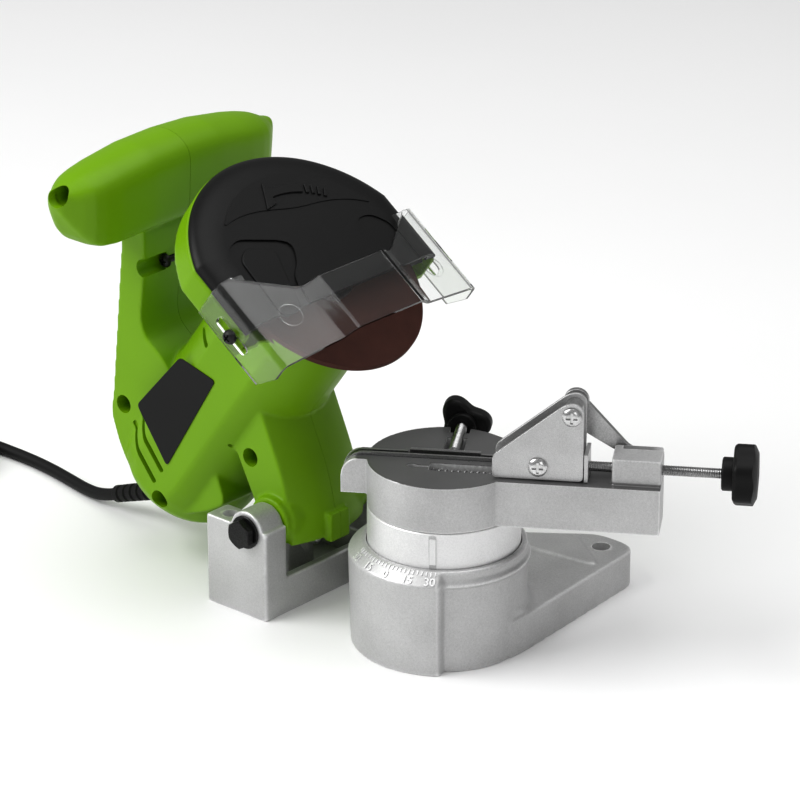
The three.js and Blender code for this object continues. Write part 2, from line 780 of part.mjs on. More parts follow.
const bearing_n = -front_wall_back + gap;
function housing() {
  const guard_disc = bar(guard_r, -guard_back, guard_rim_front, guard_sides);
  const guard_box = box(-2 * guard_r, guard_chord, -guard_flat_y, guard_flat_y, -2 * guard_back, 2 * guard_back);
  const guard = common(guard_disc, guard_box);
  const guard_hollow = common(
    bar(guard_r - guard_rim_thick, guard_plate_thick - guard_back, guard_back, guard_sides),
    box(-2 * guard_r, 2 * guard_chord, guard_rim_thick - guard_flat_y, guard_flat_y - guard_rim_thick, -guard_back, guard_back),
  );
  const bosses = [-1, 1].map((side) => at(alongY(bar(
    visor_boss_tall / 2, side < 0 ? -guard_flat_y : guard_flat_y - visor_boss_long,
    side < 0 ? visor_boss_long - guard_flat_y : guard_flat_y,
  )), visor_screw_m, 0, visor_screw_n));
  const outer_barrel = onSpindle(barrel(barrel_r, barrel_flat_y, guard_back - guard_plate_thick, barrel_length));
  const foot = onHinge(bar(column_foot_r, -column_y, column_y, round_sides));
  const hinge_boss = onHinge(bar(hinge_boss_r, -hinge_boss_y, hinge_boss_y, round_sides));
  const tab = box(
    stop_tab_ahead - hinge_reach, stop_tab_ahead + stop_tab_depth - hinge_reach, -stop_tab_y, stop_tab_y,
    hinge_z - stop_tab_drop, hinge_z - stop_tab_drop + stop_tab_tall,
  );
  const column = crowned(columnOutline(0), column_y, column_crown);
  const stem = upright(stem_outline, -stem_y, stem_y);
  const body = join(onSpindle(guard), outer_barrel, foot, hinge_boss, tab, column, stem, handleBar(0), ...bosses.map(onSpindle));

  // Hollow inside, with posts for the screws and walls for the bearings
  const post_span = 2 * bar_y;
  const posts = screw_places.map(([x, z]) => at(alongY(bar(screw_post_r, -post_span, post_span)), x, 0, z));
  const room_end = rear_wall_front / barrel_dome_shares.at(-1)[1];
  const motor_room = onSpindle(barrel(barrel_bore_r, barrel_flat_y - stem_wall, front_wall_back, room_end));
  const rear_wall = onSpindle(cut(
    box(-barrel_r, barrel_r, -barrel_r, barrel_r, -rear_wall_front - rear_wall_thick, -rear_wall_front),
    box(-2 * barrel_r, bearing_r - barrel_r, -bearing_r, bearing_r, -barrel_length, 0),
  ));
  const column_room = crowned(columnOutline(column_wall), column_y - column_wall, column_crown);
  const hinge_wall = onHinge(bar(hinge_bore_r + column_wall, -column_y, column_y));
  const stem_room = upright(inset(stem_outline, stem_wall), stem_wall - stem_y, stem_y - stem_wall);
  const bar_room = handleBar(bar_wall);
  const neck = box(
    stem_outline.at(-1)[0] + stem_wall, stem_outline[0][0] - stem_wall, stem_wall - stem_y, stem_y - stem_wall,
    stem_foot_z + stem_height - 2 * stem_wall, bar_floor_z + 2 * bar_wall,
  );
  const rooms = join(motor_room, column_room, stem_room, bar_room, neck);
  const bore_room = onSpindle(bar(barrel_bore_r, -rear_wall_front, -front_wall_back, barrel_sides));
  const kept = cut(rooms, ...posts.map((post) => cut(post, bore_room)), rear_wall, hinge_wall, onSpindle(guardFront()));

  // Holes
  const vents = [-1, 1].flatMap((side) => ventSlots(side));
  const relief_hole = onRelief(reliefHole());
  const wells = screw_places.map(([x, z]) => at(
    alongY(bar(screw_well_r, -2 * guard_r, -shell_screw_seat_y)), x, 0, z,
  ));
  const screw_holes = screw_places.map(([x, z]) => at(
    alongY(bar(shell_screw_r + gap, -2 * shell_screw_seat_y, shell_screw_length - shell_screw_seat_y + gap)), x, 0, z,
  ));
  const visor_holes = [-1, 1].map((side) => onSpindle(at(alongY(bar(
    visor_screw_r + gap, side < 0 ? -2 * guard_flat_y : guard_flat_y - visor_boss_long + overrun,
    side < 0 ? visor_boss_long - guard_flat_y - overrun : 2 * guard_flat_y,
  )), visor_screw_m, 0, visor_screw_n)));
  const trigger_z = bar_floor_z + bar_height - trigger_drop;
  const trigger_hole = box(
    -2 * bar_back_reach, -bar_back_reach + trigger_deep, -trigger_long / 2 - gap, trigger_long / 2 + gap,
    trigger_z - trigger_tall / 2 - gap, trigger_z + trigger_tall / 2 + gap,
  );
  return cut(
    body, kept, onSpindle(guard_hollow), onHinge(bar(hinge_bore_r, -2 * column_y, 2 * column_y)),
    onSpindle(bar(shaft_r + 2 * gap, -rear_wall_front - rear_wall_thick - overrun, guard_r)),
    onSpindle(bar(bearing_r + gap, -front_wall_back - overrun, bearing_n + bearing_wide + gap, inner_sides)),
    onSpindle(bar(rear_bearing_r + gap, -rear_wall_front - rear_bearing_wide - gap, overrun - rear_wall_front, inner_sides)),
    relief_hole, trigger_hole,
    ...vents, ...wells, ...screw_holes, ...visor_holes,
  );
}

// What lies ahead of the motor room's front wall stays solid
function guardFront() {
  return box(-guard_r, guard_chord, -guard_flat_y, guard_flat_y, -front_wall_back, guard_back);
}

// Air slots: two long ones by the fan's inlet at the rear and a short outlet, on each side
function ventSlots(side) {
  const reach = side * (barrel_flat_y - overrun);
  const slot = (length, across, back, slope) => onSpindle(at(
    box(-length / 2, length / 2, -2 * overrun, 2 * overrun, -vent_width / 2, vent_width / 2).rotateY(rad(slope)),
    -across, reach, -back,
  ));
  return [
    slot(vent_length, vent_side, vent_back, vent_slope_deg),
    slot(vent_length, vent_side, vent_back + vent_pitch, vent_slope_deg),
    slot(outlet_length, outlet_side, outlet_back, 0),
  ];
}

// Strain relief: a flange inside the housing and a tapered sleeve with ribs
function reliefBody() {
  const points = [[0, 0], [relief_flange_r, 0], [relief_flange_r, relief_flange_thick]];
  const rib = (relief_length - relief_flange_thick) / relief_ribs;
  for (let i = 0; i < relief_ribs; i += 1) {
    const r = relief_root_r + ((relief_tip_r - relief_root_r) * i) / (relief_ribs - 1);
    const start = relief_flange_thick + rib * i;
    points.push([r - relief_rib_depth, start], [r, start + rib / 2], [r, start + rib * relief_rib_share]);
  }
  points.push([0, relief_length]);
  return turned(points.map(([r, z]) => [r, -z]).reverse(), relief_sides);
}
function reliefHole() {
  const points = [
    [0, relief_length], [relief_root_r + gap, relief_length], [relief_root_r + gap, relief_flange_thick + gap],
    [relief_flange_r + gap, relief_flange_thick + gap], [relief_flange_r + gap, -gap], [0, -gap],
  ];
  return turned(points.map(([r, z]) => [r, -z]), relief_sides);
}
function onRelief(geometry) {
  const leaned = geometry.rotateY(rad(90 - relief_fall_deg));
  return at(leaned, relief_start_x, 0, relief_start_z);
}

const shell = housing();
const far = 2 * (barrel_length + disc_up);
const front_side = box(-far, far, -far, -parting_gap / 2, -far, far);
const rear_side = box(-far, far, parting_gap / 2, far, -far, far);
piece(head, 'housing_front', common(shell, front_side), green);
piece(head, 'housing_rear', common(shell, rear_side), green);

// Screws that hold the two halves of the housing
function pannedScrew(shank_r, head_r, head_thick, length, y) {
  const [top_share, side_share] = screw_crown_shares;
  const profile = [
    [0, -head_thick], [head_r * top_share, -head_thick], [head_r, -head_thick * side_share], [head_r, 0], [shank_r, 0],
    [shank_r, length], [0, length],
  ];
  return at(alongY(turned(profile, small_sides)), 0, y, 0);
}
for (const [name, [x, z]] of Object.entries(shell_screws)) {
  const screw = pannedScrew(
    shell_screw_r, shell_screw_head_r, shell_screw_head_thick, shell_screw_length, -shell_screw_seat_y - gap,
  );
  piece(head, `shell_screw_${name}`, at(screw, x, 0, z), dark_steel);
}

// Rating plate, with nothing on it, on the housing's flat side
const plate_points = plate_shares.map(([across, along]) => [plate_width * across, -plate_start - plate_length * along]);
const plate_back_y = -barrel_flat_y - plate_gap;
piece(spindle, 'rating_plate', upright(plate_points, plate_back_y - plate_thick, plate_back_y), black);

// Black cover over the upper part of the grinding disc
const cover_front = cover_back + cover_tall;
function coverBody() {
  const profile = (r, back, front) => [
    [0, back], ...cover_shares.map(([across, up]) => [r * across, back + (front - back) * up]), [0, front],
  ];
  const slab = (r, flat_y, back, front, chord) => common(
    turned(profile(r, back, front), guard_sides), box(-2 * r, chord, -flat_y, flat_y, back - overrun, front + overrun),
  );
  const inside_r = cover_r - cover_wall;
  const inside_y = cover_flat_y - cover_wall;
  return cut(
    slab(cover_r, cover_flat_y, cover_back, cover_front, cover_chord),
    slab(inside_r, inside_y, cover_back - overrun, cover_front - cover_wall, cover_chord + overrun),
  );
}
piece(spindle, 'disc_cover', coverBody(), black);

// Clear visor: a bent sheet over the disc's front, with a wing down each side
function visorBody() {
  const outer = [
    [-visor_crest_y, visor_crest_n], [-visor_valley_y, visor_valley_n], [-visor_wing_y, visor_shoulder_n],
    [-visor_wing_y, visor_wing_foot_n],
  ];
  const inner = inset([...outer, ...outer.map(([y, n]) => [-y, n]).reverse()], visor_thick).slice(0, 4);
  const left = [...outer].reverse();
  const right = outer.map(([y, n]) => [-y, n]);
  const low_left = [...inner];
  low_left[3] = [inner[3][0], visor_wing_foot_n];
  const low_right = low_left.map(([y, n]) => [-y, n]).reverse();
  const section = [...left, ...right, ...low_right, ...low_left];
  const sheet = plate(section, 0, visor_foot - visor_top).rotateX(PI / 2).rotateZ(PI / 2);
  const placed = at(sheet, visor_top, 0, 0);
  const notch = plate([
    [visor_top - overrun, -visor_wing_y * visor_notch_share], [visor_notch, -visor_valley_y], [visor_notch, visor_valley_y],
    [visor_top - overrun, visor_wing_y * visor_notch_share],
  ], 0, 2 * visor_crest_n);
  const corner = visor_foot * visor_corner_share;
  const corners = upright([
    [visor_foot + overrun, visor_wing_foot_n - overrun], [visor_foot + overrun, visor_wing_foot_n + 2 * corner],
    [visor_foot - corner, visor_wing_foot_n - overrun],
  ], -2 * visor_wing_y, 2 * visor_wing_y);
  const slot_mid = visor_screw_m;
  const slot = box(
    slot_mid - visor_slot_length / 2, slot_mid + visor_slot_length / 2, -2 * visor_wing_y, 2 * visor_wing_y,
    visor_screw_n - visor_slot_width / 2, visor_screw_n + visor_slot_width / 2,
  );
  return cut(placed, notch, corners, slot);
}
piece(spindle, 'visor', visorBody(), clear);

// Screws that clamp the visor's wings on the housing
for (const side of [-1, 1]) {
  const seat = visor_wing_y + gap;
  const screw = pannedScrew(
    visor_screw_r, visor_screw_head_r, visor_screw_head_thick, seat - guard_flat_y + visor_boss_long - 2 * overrun, -seat,
  );
  const turnedScrew = side < 0 ? screw : screw.rotateZ(PI);
  const name = side < 0 ? 'visor_screw_left' : 'visor_screw_right';
  piece(spindle, name, at(turnedScrew, visor_screw_m, 0, visor_screw_n), dark_steel);
}

// Spindle: shaft, disc between two flanges, nut, fan, armature and commutator
const spindle_end = -rear_wall_front - rear_bearing_wide;
const inner_flange_n = -disc_thick / 2 - gap - flange_thick;
const outer_flange_n = disc_thick / 2 + gap;
const nut_n = outer_flange_n + flange_thick + gap;
const bore_r = shaft_r + gap;
piece(spindle, 'rotor_shaft', bar(shaft_r, spindle_end, nut_n + nut_thick), steel);
piece(spindle, 'grinding_disc', ring(disc_bore_r, disc_r, -disc_thick / 2, disc_thick / 2, guard_sides), grit);
const hub_r = disc_bore_r - gap;
const inner_flange = turned([
  [bore_r, inner_flange_n], [flange_r, inner_flange_n], [flange_r, -disc_thick / 2 - gap], [hub_r, -disc_thick / 2 - gap],
  [hub_r, disc_thick / 2], [bore_r, disc_thick / 2], [bore_r, inner_flange_n],
], inner_sides);
piece(spindle, 'inner_flange', inner_flange, steel);
const outer_flange = ring(bore_r, flange_r, outer_flange_n, outer_flange_n + flange_thick, inner_sides);
piece(spindle, 'outer_flange', outer_flange, steel);
const arbor_nut = cut(hexagon(nut_flats, nut_n, nut_n + nut_thick), bar(bore_r, 0, 2 * cover_front));
piece(spindle, 'arbor_nut', arbor_nut, dark_steel);

function fanBody() {
  const base = ring(bore_r, fan_r, -fan_front - fan_tall, fan_plate_thick - fan_front - fan_tall);
  const boss = ring(bore_r, fan_hub_r, -fan_front - fan_tall, -fan_front);
  const blades = Array.from({ length: fan_blades }, (_, i) => box(
    (fan_hub_r + bore_r) / 2, fan_r, -fan_blade_thick / 2, fan_blade_thick / 2, -fan_front - fan_tall, -fan_front,
  ).rotateZ((2 * PI * i) / fan_blades));
  return join(base, boss, ...blades);
}
piece(spindle, 'cooling_fan', fanBody(), black);

const stator_end = stator_front + stator_length;
function coreBody() {
  const slots = Array.from({ length: core_slots }, (_, i) => box(
    core_r - core_slot_depth, core_r + overrun, -core_slot_depth / 4, core_slot_depth / 4,
    -stator_end - overrun, overrun - stator_front,
  ).rotateZ((2 * PI * i) / core_slots));
  return cut(ring(bore_r, core_r, -stator_end, -stator_front, core_sides), ...slots);
}
const winding = ring(bore_r, winding_r, -stator_end - winding_long, winding_long - stator_front, inner_sides);
const commutator = ring(bore_r, commutator_r, -commutator_front - commutator_long, -stator_end, inner_sides);
piece(spindle, 'armature', join(coreBody(), winding, commutator), copper);

// Bearings at both ends of the shaft
piece(spindle, 'bearing_front', ring(bore_r, bearing_r, bearing_n, bearing_n + bearing_wide, inner_sides), steel);
const bearing_rear = ring(bore_r, rear_bearing_r, -rear_wall_front - rear_bearing_wide, -rear_wall_front, inner_sides);
piece(spindle, 'bearing_rear', bearing_rear, steel);

// Stator with its winding showing at each end, and the brushes in their holders
function fieldBody() {
  const body = ring(stator_bore_r, barrel_bore_r - gap, -stator_end, -stator_front);
  const flat_y = barrel_flat_y - stem_wall - gap;
  const core = common(body, box(-barrel_r, barrel_r, -flat_y, flat_y, -stator_end, -stator_front));
  const coils = ring(winding_inner_r, winding_outer_r, -stator_end - winding_thick, winding_thick - stator_front, inner_sides);
  return join(core, coils);
}
piece(spindle, 'stator', fieldBody(), copper);
const brush_n = -commutator_front - commutator_long / 2;
const brush_start = commutator_r + gap;
for (const side of [-1, 1]) {
  const carbon = box(-brush_wide / 2, brush_wide / 2, brush_start, brush_start + brush_long, -brush_tall / 2, brush_tall / 2);
  const reach = brush_start + 2 * gap + holder_wall / 2;
  const outside = barrel_bore_r - 3 * gap;
  const wide = brush_wide / 2 + holder_wall;
  const tall = brush_tall / 2 + holder_wall;
  const holder = box(-wide, wide, reach, outside, -tall, tall);
  const name = side < 0 ? 'left' : 'right';
  const turn = side < 0 ? PI : 0;
  piece(spindle, `brush_${name}`, at(join(carbon, holder).rotateZ(turn), 0, 0, brush_n), copper);
}

// Trigger on the handle's back, with its switch behind it
const trigger_z = bar_floor_z + bar_height - trigger_drop;
const trigger_front_x = -bar_back_reach - trigger_stand;
const trigger_end_x = -bar_back_reach + trigger_deep - trigger_travel;
const trigger = upright([
  [trigger_front_x + trigger_stand / 4, trigger_z - trigger_tall / 2], [trigger_end_x, trigger_z - trigger_tall / 2],
  [trigger_end_x, trigger_z + trigger_tall / 2], [trigger_front_x + trigger_stand / 4, trigger_z + trigger_tall / 2],
  [trigger_front_x, trigger_z],
], -trigger_long / 2, trigger_long / 2);
piece(head, 'switch_trigger', trigger, black);
const switch_x = trigger_end_x + trigger_travel + gap;
const switch_body = box(
  switch_x, switch_x + switch_deep, -trigger_long / 2, trigger_long / 2, trigger_z - trigger_tall / 2,
  trigger_z + trigger_tall / 2,
);
piece(head, 'switch_body', switch_body, black);

piece(head, 'strain_relief', onRelief(reliefBody()), rubber);

// Vise frame: turned about the swivel axis, with +X along the arm and +Y to the clamp screw
const vise = new THREE.Group();
vise.rotation.z = rad(vise_turn_deg);
model.add(vise);

// Turntable ring: a cup with a hub that stands in the tower
const deck_z = vise_seam_z - ring_deck;
function ringBody() {
  const foot_z = tower_floor_z + gap;
  const body = turned([
    [swivel_r + gap, foot_z], [ring_hub_r, foot_z], [ring_hub_r, deck_z], [vise_r - ring_wall, deck_z],
    [vise_r - ring_wall, foot_z], [vise_r, foot_z], [vise_r, vise_seam_z - seam_gap], [swivel_r + gap, vise_seam_z - seam_gap],
    [swivel_r + gap, foot_z],
  ], tower_sides);
  const rib = box(
    vise_r - ring_wall / 2, vise_r + index_rise, -index_wide / 2, index_wide / 2, tower_rim_z + overrun,
    tower_rim_z + overrun + index_tall,
  );
  return join(body, rib.rotateZ(rad(index_deg - vise_turn_deg)));
}
piece(vise, 'turntable_ring', ringBody(), cast);

// Vise casting: round table with an arm, a nub opposite it, and slots for the rails and the jaw
const slot_half = chain_slot / 2 + rail_thick + gap;
const arm_back_y = -slot_half;
const jaw_back_y = chain_slot / 2 + jaw_travel + jaw_thick;
const rail_floor_z = rail_foot_z - gap;
const groove_mid_y = (groove_front_y + groove_back_y) / 2;
const spring_z = groove_floor_z + gap + vise_spring_r + vise_spring_wire;
function viseCasting() {
  const table = bar(vise_r, vise_seam_z, vise_top_z, tower_sides);
  const arm = box(0, arm_end_x, arm_front_y, arm_back_y, vise_seam_z, vise_top_z);
  const nub_back_y = -nub_front_y;
  const nub_round = join(
    box(nub_end_x + nub_round_r, -vise_r / 2, nub_front_y, nub_back_y, nub_floor_z, vise_top_z),
    box(nub_end_x, -vise_r / 2, nub_front_y, nub_back_y, nub_floor_z, vise_top_z - nub_round_r),
    at(alongY(bar(nub_round_r, nub_front_y, nub_back_y, round_sides)), nub_end_x + nub_round_r, 0, vise_top_z - nub_round_r),
  );
  const block = box(block_start_x, arm_end_x, block_front_y, arm_back_y, vise_top_z - overrun, block_top_z);
  const clamp_wall_top = clamp_rod_z + clamp_rod_r + overrun;
  const clamp_wall = box(
    channel_x - channel_width, channel_x + channel_width, clamp_nut_y, clamp_nut_y + clamp_nut_thick,
    channel_floor_z - overrun, clamp_wall_top,
  );
  const groove = box(groove_start_x, carriage_start_x + groove_travel, groove_front_y, groove_back_y, groove_floor_z, 2 * vise_top_z);
  const drop = join(
    at(bar(drop_r, groove_floor_z, 2 * vise_top_z), groove_start_x - drop_length, groove_mid_y, 0),
    box(groove_start_x - drop_length, groove_start_x + overrun, groove_mid_y - drop_r / 2, groove_mid_y + drop_r / 2, groove_floor_z, 2 * vise_top_z),
  );
  const jaw_room = box(
    -rail_break_x, rail_break_x, -slot_half, jaw_back_y + gap, rail_floor_z, 2 * vise_top_z,
  );
  const slot = box(2 * nub_end_x, arm_end_x - vise_r / 2, -slot_half, slot_half, rail_floor_z, 2 * vise_top_z);
  const channel = cut(
    box(channel_x - channel_width / 2, channel_x + channel_width / 2, 0, 2 * vise_r, channel_floor_z, 2 * vise_top_z),
    box(channel_x - channel_width, channel_x + channel_width, clamp_nut_y, clamp_nut_y + clamp_nut_thick, 0, 3 * vise_top_z),
  );
  const block_groove = box(
    block_start_x + block_groove_wide, arm_end_x + overrun, feed_y + 2 * feed_r,
    feed_y + 2 * feed_r + block_groove_wide, block_top_z - block_groove_deep, 2 * block_top_z,
  );
  const arm_room = box(
    vise_r + ring_wall, arm_end_x - ring_wall, arm_front_y + base_wall, arm_back_y - base_wall,
    0, groove_floor_z - base_wall / 2,
  );
  const feed_bore = at(alongX(bar(feed_r + gap, vise_r, 2 * arm_end_x)), 0, feed_y, feed_z);
  const clamp_bore = at(alongY(bar(clamp_rod_r + gap, 0, 2 * vise_r)), channel_x, 0, clamp_rod_z);
  const head_room = bar(swivel_head_r + gap, 0, vise_seam_z + swivel_head_thick + 2 * gap);
  return cut(
    join(table, arm, nub_round, block, clamp_wall), groove, drop, jaw_room, slot, channel, block_groove, arm_room,
    feed_bore, clamp_bore, head_room,
  );
}
const groove_travel = vise_spring_end_x - carriage_start_x + gap;
piece(vise, 'vise_casting', viseCasting(), cast);

// Swivel stud with its head in the casting and its thread down through the tower's floor
const lock_top_z = tower_web_z - gap;
const stud = join(
  bar(swivel_r, lock_top_z - lock_knob_thick / 2, vise_seam_z + gap + swivel_head_thick / 2),
  bar(swivel_head_r, vise_seam_z + gap, vise_seam_z + gap + swivel_head_thick),
);
piece(vise, 'swivel_stud', stud, steel);

// Lock knob under the tower's floor
const lock_knob = cut(
  plate(lobed(lock_knob_r, lock_knob_dip, lock_knob_lobes), lock_top_z - lock_knob_thick, lock_top_z),
  bar(swivel_r + gap, lock_top_z - lock_knob_thick / 2 - gap, 2 * lock_top_z),
);
piece(vise, 'lock_knob', lock_knob, black);

// Rails that guide the chain: one whole rail in front, two short ones and the clamping jaw behind
const rail_front_y = -chain_slot / 2 - rail_thick;
function railBody(start, end, y) {
  const rise = rail_top_z - rail_foot_z;
  const points = [[start, rail_foot_z], [end, rail_foot_z], [end, rail_top_z]];
  if (start < nub_end_x + nub_round_r) {
    const centre = [start + rise, rail_foot_z];
    for (let i = 1; i < rail_round_steps; i += 1) {
      const turn = (PI * i) / (2 * rail_round_steps);
      points.push([centre[0] - rise * sin(turn), centre[1] + rise * cos(turn)]);
    }
  } else {
    points.push([start, rail_top_z]);
  }
  return upright(points, y, y + rail_thick);
}
const rail_start_x = nub_end_x + gap;
const rail_end_x = arm_end_x - vise_r;
piece(vise, 'rail_front', railBody(rail_start_x, rail_end_x, rail_front_y), steel);
piece(vise, 'rail_back_left', railBody(rail_start_x, -rail_break_x - gap, chain_slot / 2), steel);
const short_end_x = sqrt(vise_r * vise_r - slot_half * slot_half) - overrun;
piece(vise, 'rail_back_right', railBody(rail_break_x + gap, short_end_x, chain_slot / 2), steel);
const jaw_y = chain_slot / 2 + jaw_travel;
const jaw = box(gap - rail_break_x, rail_break_x - gap, jaw_y, jaw_y + jaw_thick, rail_foot_z, rail_top_z);
piece(vise, 'clamp_jaw', jaw, steel);

// Clamp screw with a round tip on the jaw, and its winged knob
const clamp_tip_y = jaw_y + jaw_thick + gap;
const clamp_end_y = clamp_knob_y + clamp_knob_thick / 2;
const clamp_rod = turned([
  [0, clamp_tip_y], [clamp_rod_r * clamp_tip_shares[0], clamp_tip_y + clamp_rod_r * clamp_tip_shares[1]],
  [clamp_rod_r, clamp_tip_y + clamp_rod_r],
  [clamp_rod_r, clamp_end_y], [0, clamp_end_y],
], small_sides);
piece(vise, 'clamp_screw', at(alongY(clamp_rod), channel_x, 0, clamp_rod_z), steel);
function clampKnob() {
  const wings = plate(lobed(clamp_knob_long, clamp_knob_long - clamp_knob_short, 3), clamp_knob_y, clamp_knob_y + clamp_knob_thick);
  const hub_end = bar(clamp_hub_r, clamp_knob_y - clamp_hub_thick, clamp_knob_y + clamp_knob_thick / 2);
  const bore = bar(clamp_rod_r + gap, 0, clamp_knob_y + clamp_knob_thick / 2 + gap);
  return alongY(cut(join(wings, hub_end), bore));
}
piece(vise, 'clamp_knob', at(clampKnob(), channel_x, 0, clamp_rod_z), black);

// Carriage that slides on the arm: two cheeks joined by the pawl's axle and a tie screw
const carriage_long = carriage_end_x - carriage_start_x;
const cheek_points = cheek_shares.map(([u, v]) => [carriage_start_x + u * carriage_long, carriage_foot_z + v * carriage_tall]);
const across = (r, start, end, x, z, sides = small_sides) => at(alongY(bar(r, start, end, sides)), x, 0, z);
function cheek(front_y) {
  return cut(
    upright(cheek_points, front_y, front_y + cheek_thick),
    across(axle_r + gap, 2 * cheek_front_y, -cheek_front_y, axle_x, axle_z),
    across(axle_r + gap, 2 * cheek_front_y, -cheek_front_y, tie_x, tie_z),
  );
}
const cheek_back_y = carriage_back_y - cheek_thick;
piece(vise, 'carriage_cheek_front', cheek(cheek_front_y), cast);
piece(vise, 'carriage_cheek_back', cheek(cheek_back_y), cast);
const spacer_start_y = cheek_front_y + cheek_thick + gap;
const spacer_end_y = cheek_back_y - gap;
function spacer(x, z) {
  return at(alongY(ring(axle_r + gap, axle_head_r, spacer_start_y, spacer_end_y, small_sides)), x, 0, z);
}
piece(vise, 'carriage_spacer_upper', spacer(axle_x, axle_z), steel);
piece(vise, 'carriage_spacer_lower', spacer(tie_x, tie_z), steel);
function crossScrew(length) {
  const [long, deep, wide] = axle_cross_shares;
  const slot = (turn) => box(
    -axle_head_r * long, axle_head_r * long, -axle_head_thick, axle_head_thick * deep, -axle_head_r * wide,
    axle_head_r * wide,
  ).rotateY(turn).translate(0, -axle_head_thick, 0);
  const body = pannedScrew(axle_r, axle_head_r, axle_head_thick, length, 0);
  return at(cut(body, slot(0), slot(PI / 2)), 0, cheek_front_y - gap, 0);
}
piece(vise, 'axle_screw', at(crossScrew(axle_length), axle_x, 0, axle_z), steel);
piece(vise, 'tie_screw', at(crossScrew(-cheek_front_y + carriage_back_y + overrun), tie_x, 0, tie_z), steel);

// Pawl that catches a chain link, turned back out of the way, and the nut on its axle
const pawl_start_y = -pawl_thick / 2;
function pawlBody() {
  const outline = pawl_shares.map(([u, v]) => [axle_x + u * pawl_length, axle_z + v * pawl_drop]);
  const finger = upright(outline, pawl_start_y, -pawl_start_y);
  const eye = across(pawl_hub_r, pawl_start_y, -pawl_start_y, axle_x, axle_z);
  const collar = across(axle_head_r, carriage_back_y + gap, 0, axle_x, axle_z);
  return cut(join(finger, eye, collar), across(axle_r + gap, -vise_r, vise_r, axle_x, axle_z));
}
piece(vise, 'pawl', pawlBody(), steel);
const axle_nut = cut(
  hexagon(2 * axle_head_r * axle_nut_share, gap - pawl_start_y, axle_length + cheek_front_y - gap),
  bar(axle_r + gap, -vise_r, vise_r),
);
piece(vise, 'axle_nut', at(alongY(axle_nut), axle_x, 0, axle_z), steel);

// Plate across the carriage's end, and the feed screw whose hexagonal end turns behind it
const feed_plate = cut(
  box(feed_plate_x, feed_plate_x + feed_plate_thick, cheek_front_y, carriage_back_y, carriage_foot_z, feed_plate_top_z),
  at(alongX(bar(feed_r + gap, 0, 2 * feed_plate_x)), 0, feed_y, feed_z),
);
piece(vise, 'feed_plate', feed_plate, cast);
const feed_head_end = feed_plate_x - gap;
const feed_screw = join(
  bar(feed_r, feed_head_end - feed_r, feed_knob_x + feed_collar_thick + feed_knob_thick / 2),
  hexagon(3 * feed_r, feed_head_end - 2 * feed_r, feed_head_end),
);
piece(vise, 'feed_screw', at(alongX(feed_screw), 0, feed_y, feed_z), steel);
function feedKnob() {
  const lobes = plate(
    lobed(feed_knob_r, feed_knob_dip, feed_knob_lobes), feed_knob_x + feed_collar_thick,
    feed_knob_x + feed_collar_thick + feed_knob_thick,
  );
  const dome = turned([
    [0, 0], [2 * feed_knob_r, 0], [2 * feed_knob_r, feed_collar_thick + feed_knob_thick / 2],
    ...feed_dome_shares.map(([across, up]) => [feed_knob_r * across, feed_collar_thick + feed_knob_thick * up]),
    [0, feed_collar_thick + feed_knob_thick],
  ]);
  const collar = bar(feed_collar_r, feed_knob_x, feed_knob_x + feed_collar_thick + feed_knob_thick / 2);
  const bore = bar(feed_r + gap, 0, feed_knob_x + feed_collar_thick + feed_knob_thick / 2 + gap);
  return alongX(cut(join(common(lobes, at(dome, 0, 0, feed_knob_x)), collar), bore));
}
piece(vise, 'feed_knob', at(feedKnob(), 0, feed_y, feed_z), black);

// Spring in the casting's groove
function springPoints() {
  const points = [];
  const steps = vise_spring_curls * spring_steps;
  const length = vise_spring_end_x - vise_spring_start_x - 2 * vise_spring_wire;
  for (let i = 0; i <= steps; i += 1) {
    const turn = (2 * PI * i) / spring_steps;
    points.push(new THREE.Vector3(
      vise_spring_start_x + vise_spring_wire + (length * i) / steps, groove_mid_y + vise_spring_r * sin(turn),
      spring_z + vise_spring_r * cos(turn),
    ));
  }
  return points;
}
const spring_points = springPoints();
piece(vise, 'vise_spring', tube(spring_points, vise_spring_wire / 2, spring_sides), steel);

// Cord from the strain relief along the bench
const relief_tip_x = relief_start_x - relief_length * cos(rad(relief_fall_deg));
const cord_points = cord_route.map(([x, y, z]) => [relief_tip_x + x, y, z]);
const cord_curve = new THREE.CatmullRomCurve3(cord_points.map(([x, y, z]) => new THREE.Vector3(x, y, z)), false, 'centripetal');
function cordBody() {
  const corners = Array.from({ length: cord_sides }, (_, i) => {
    const turn = (2 * PI * (i + 0.5)) / cord_sides;
    return new THREE.Vector2(cord_r * cos(turn), cord_r * sin(turn));
  });
  return new THREE.ExtrudeGeometry(new THREE.Shape(corners), { steps: cord_steps, extrudePath: cord_curve });
}
piece(model, 'power_cord', cordBody(), rubber);

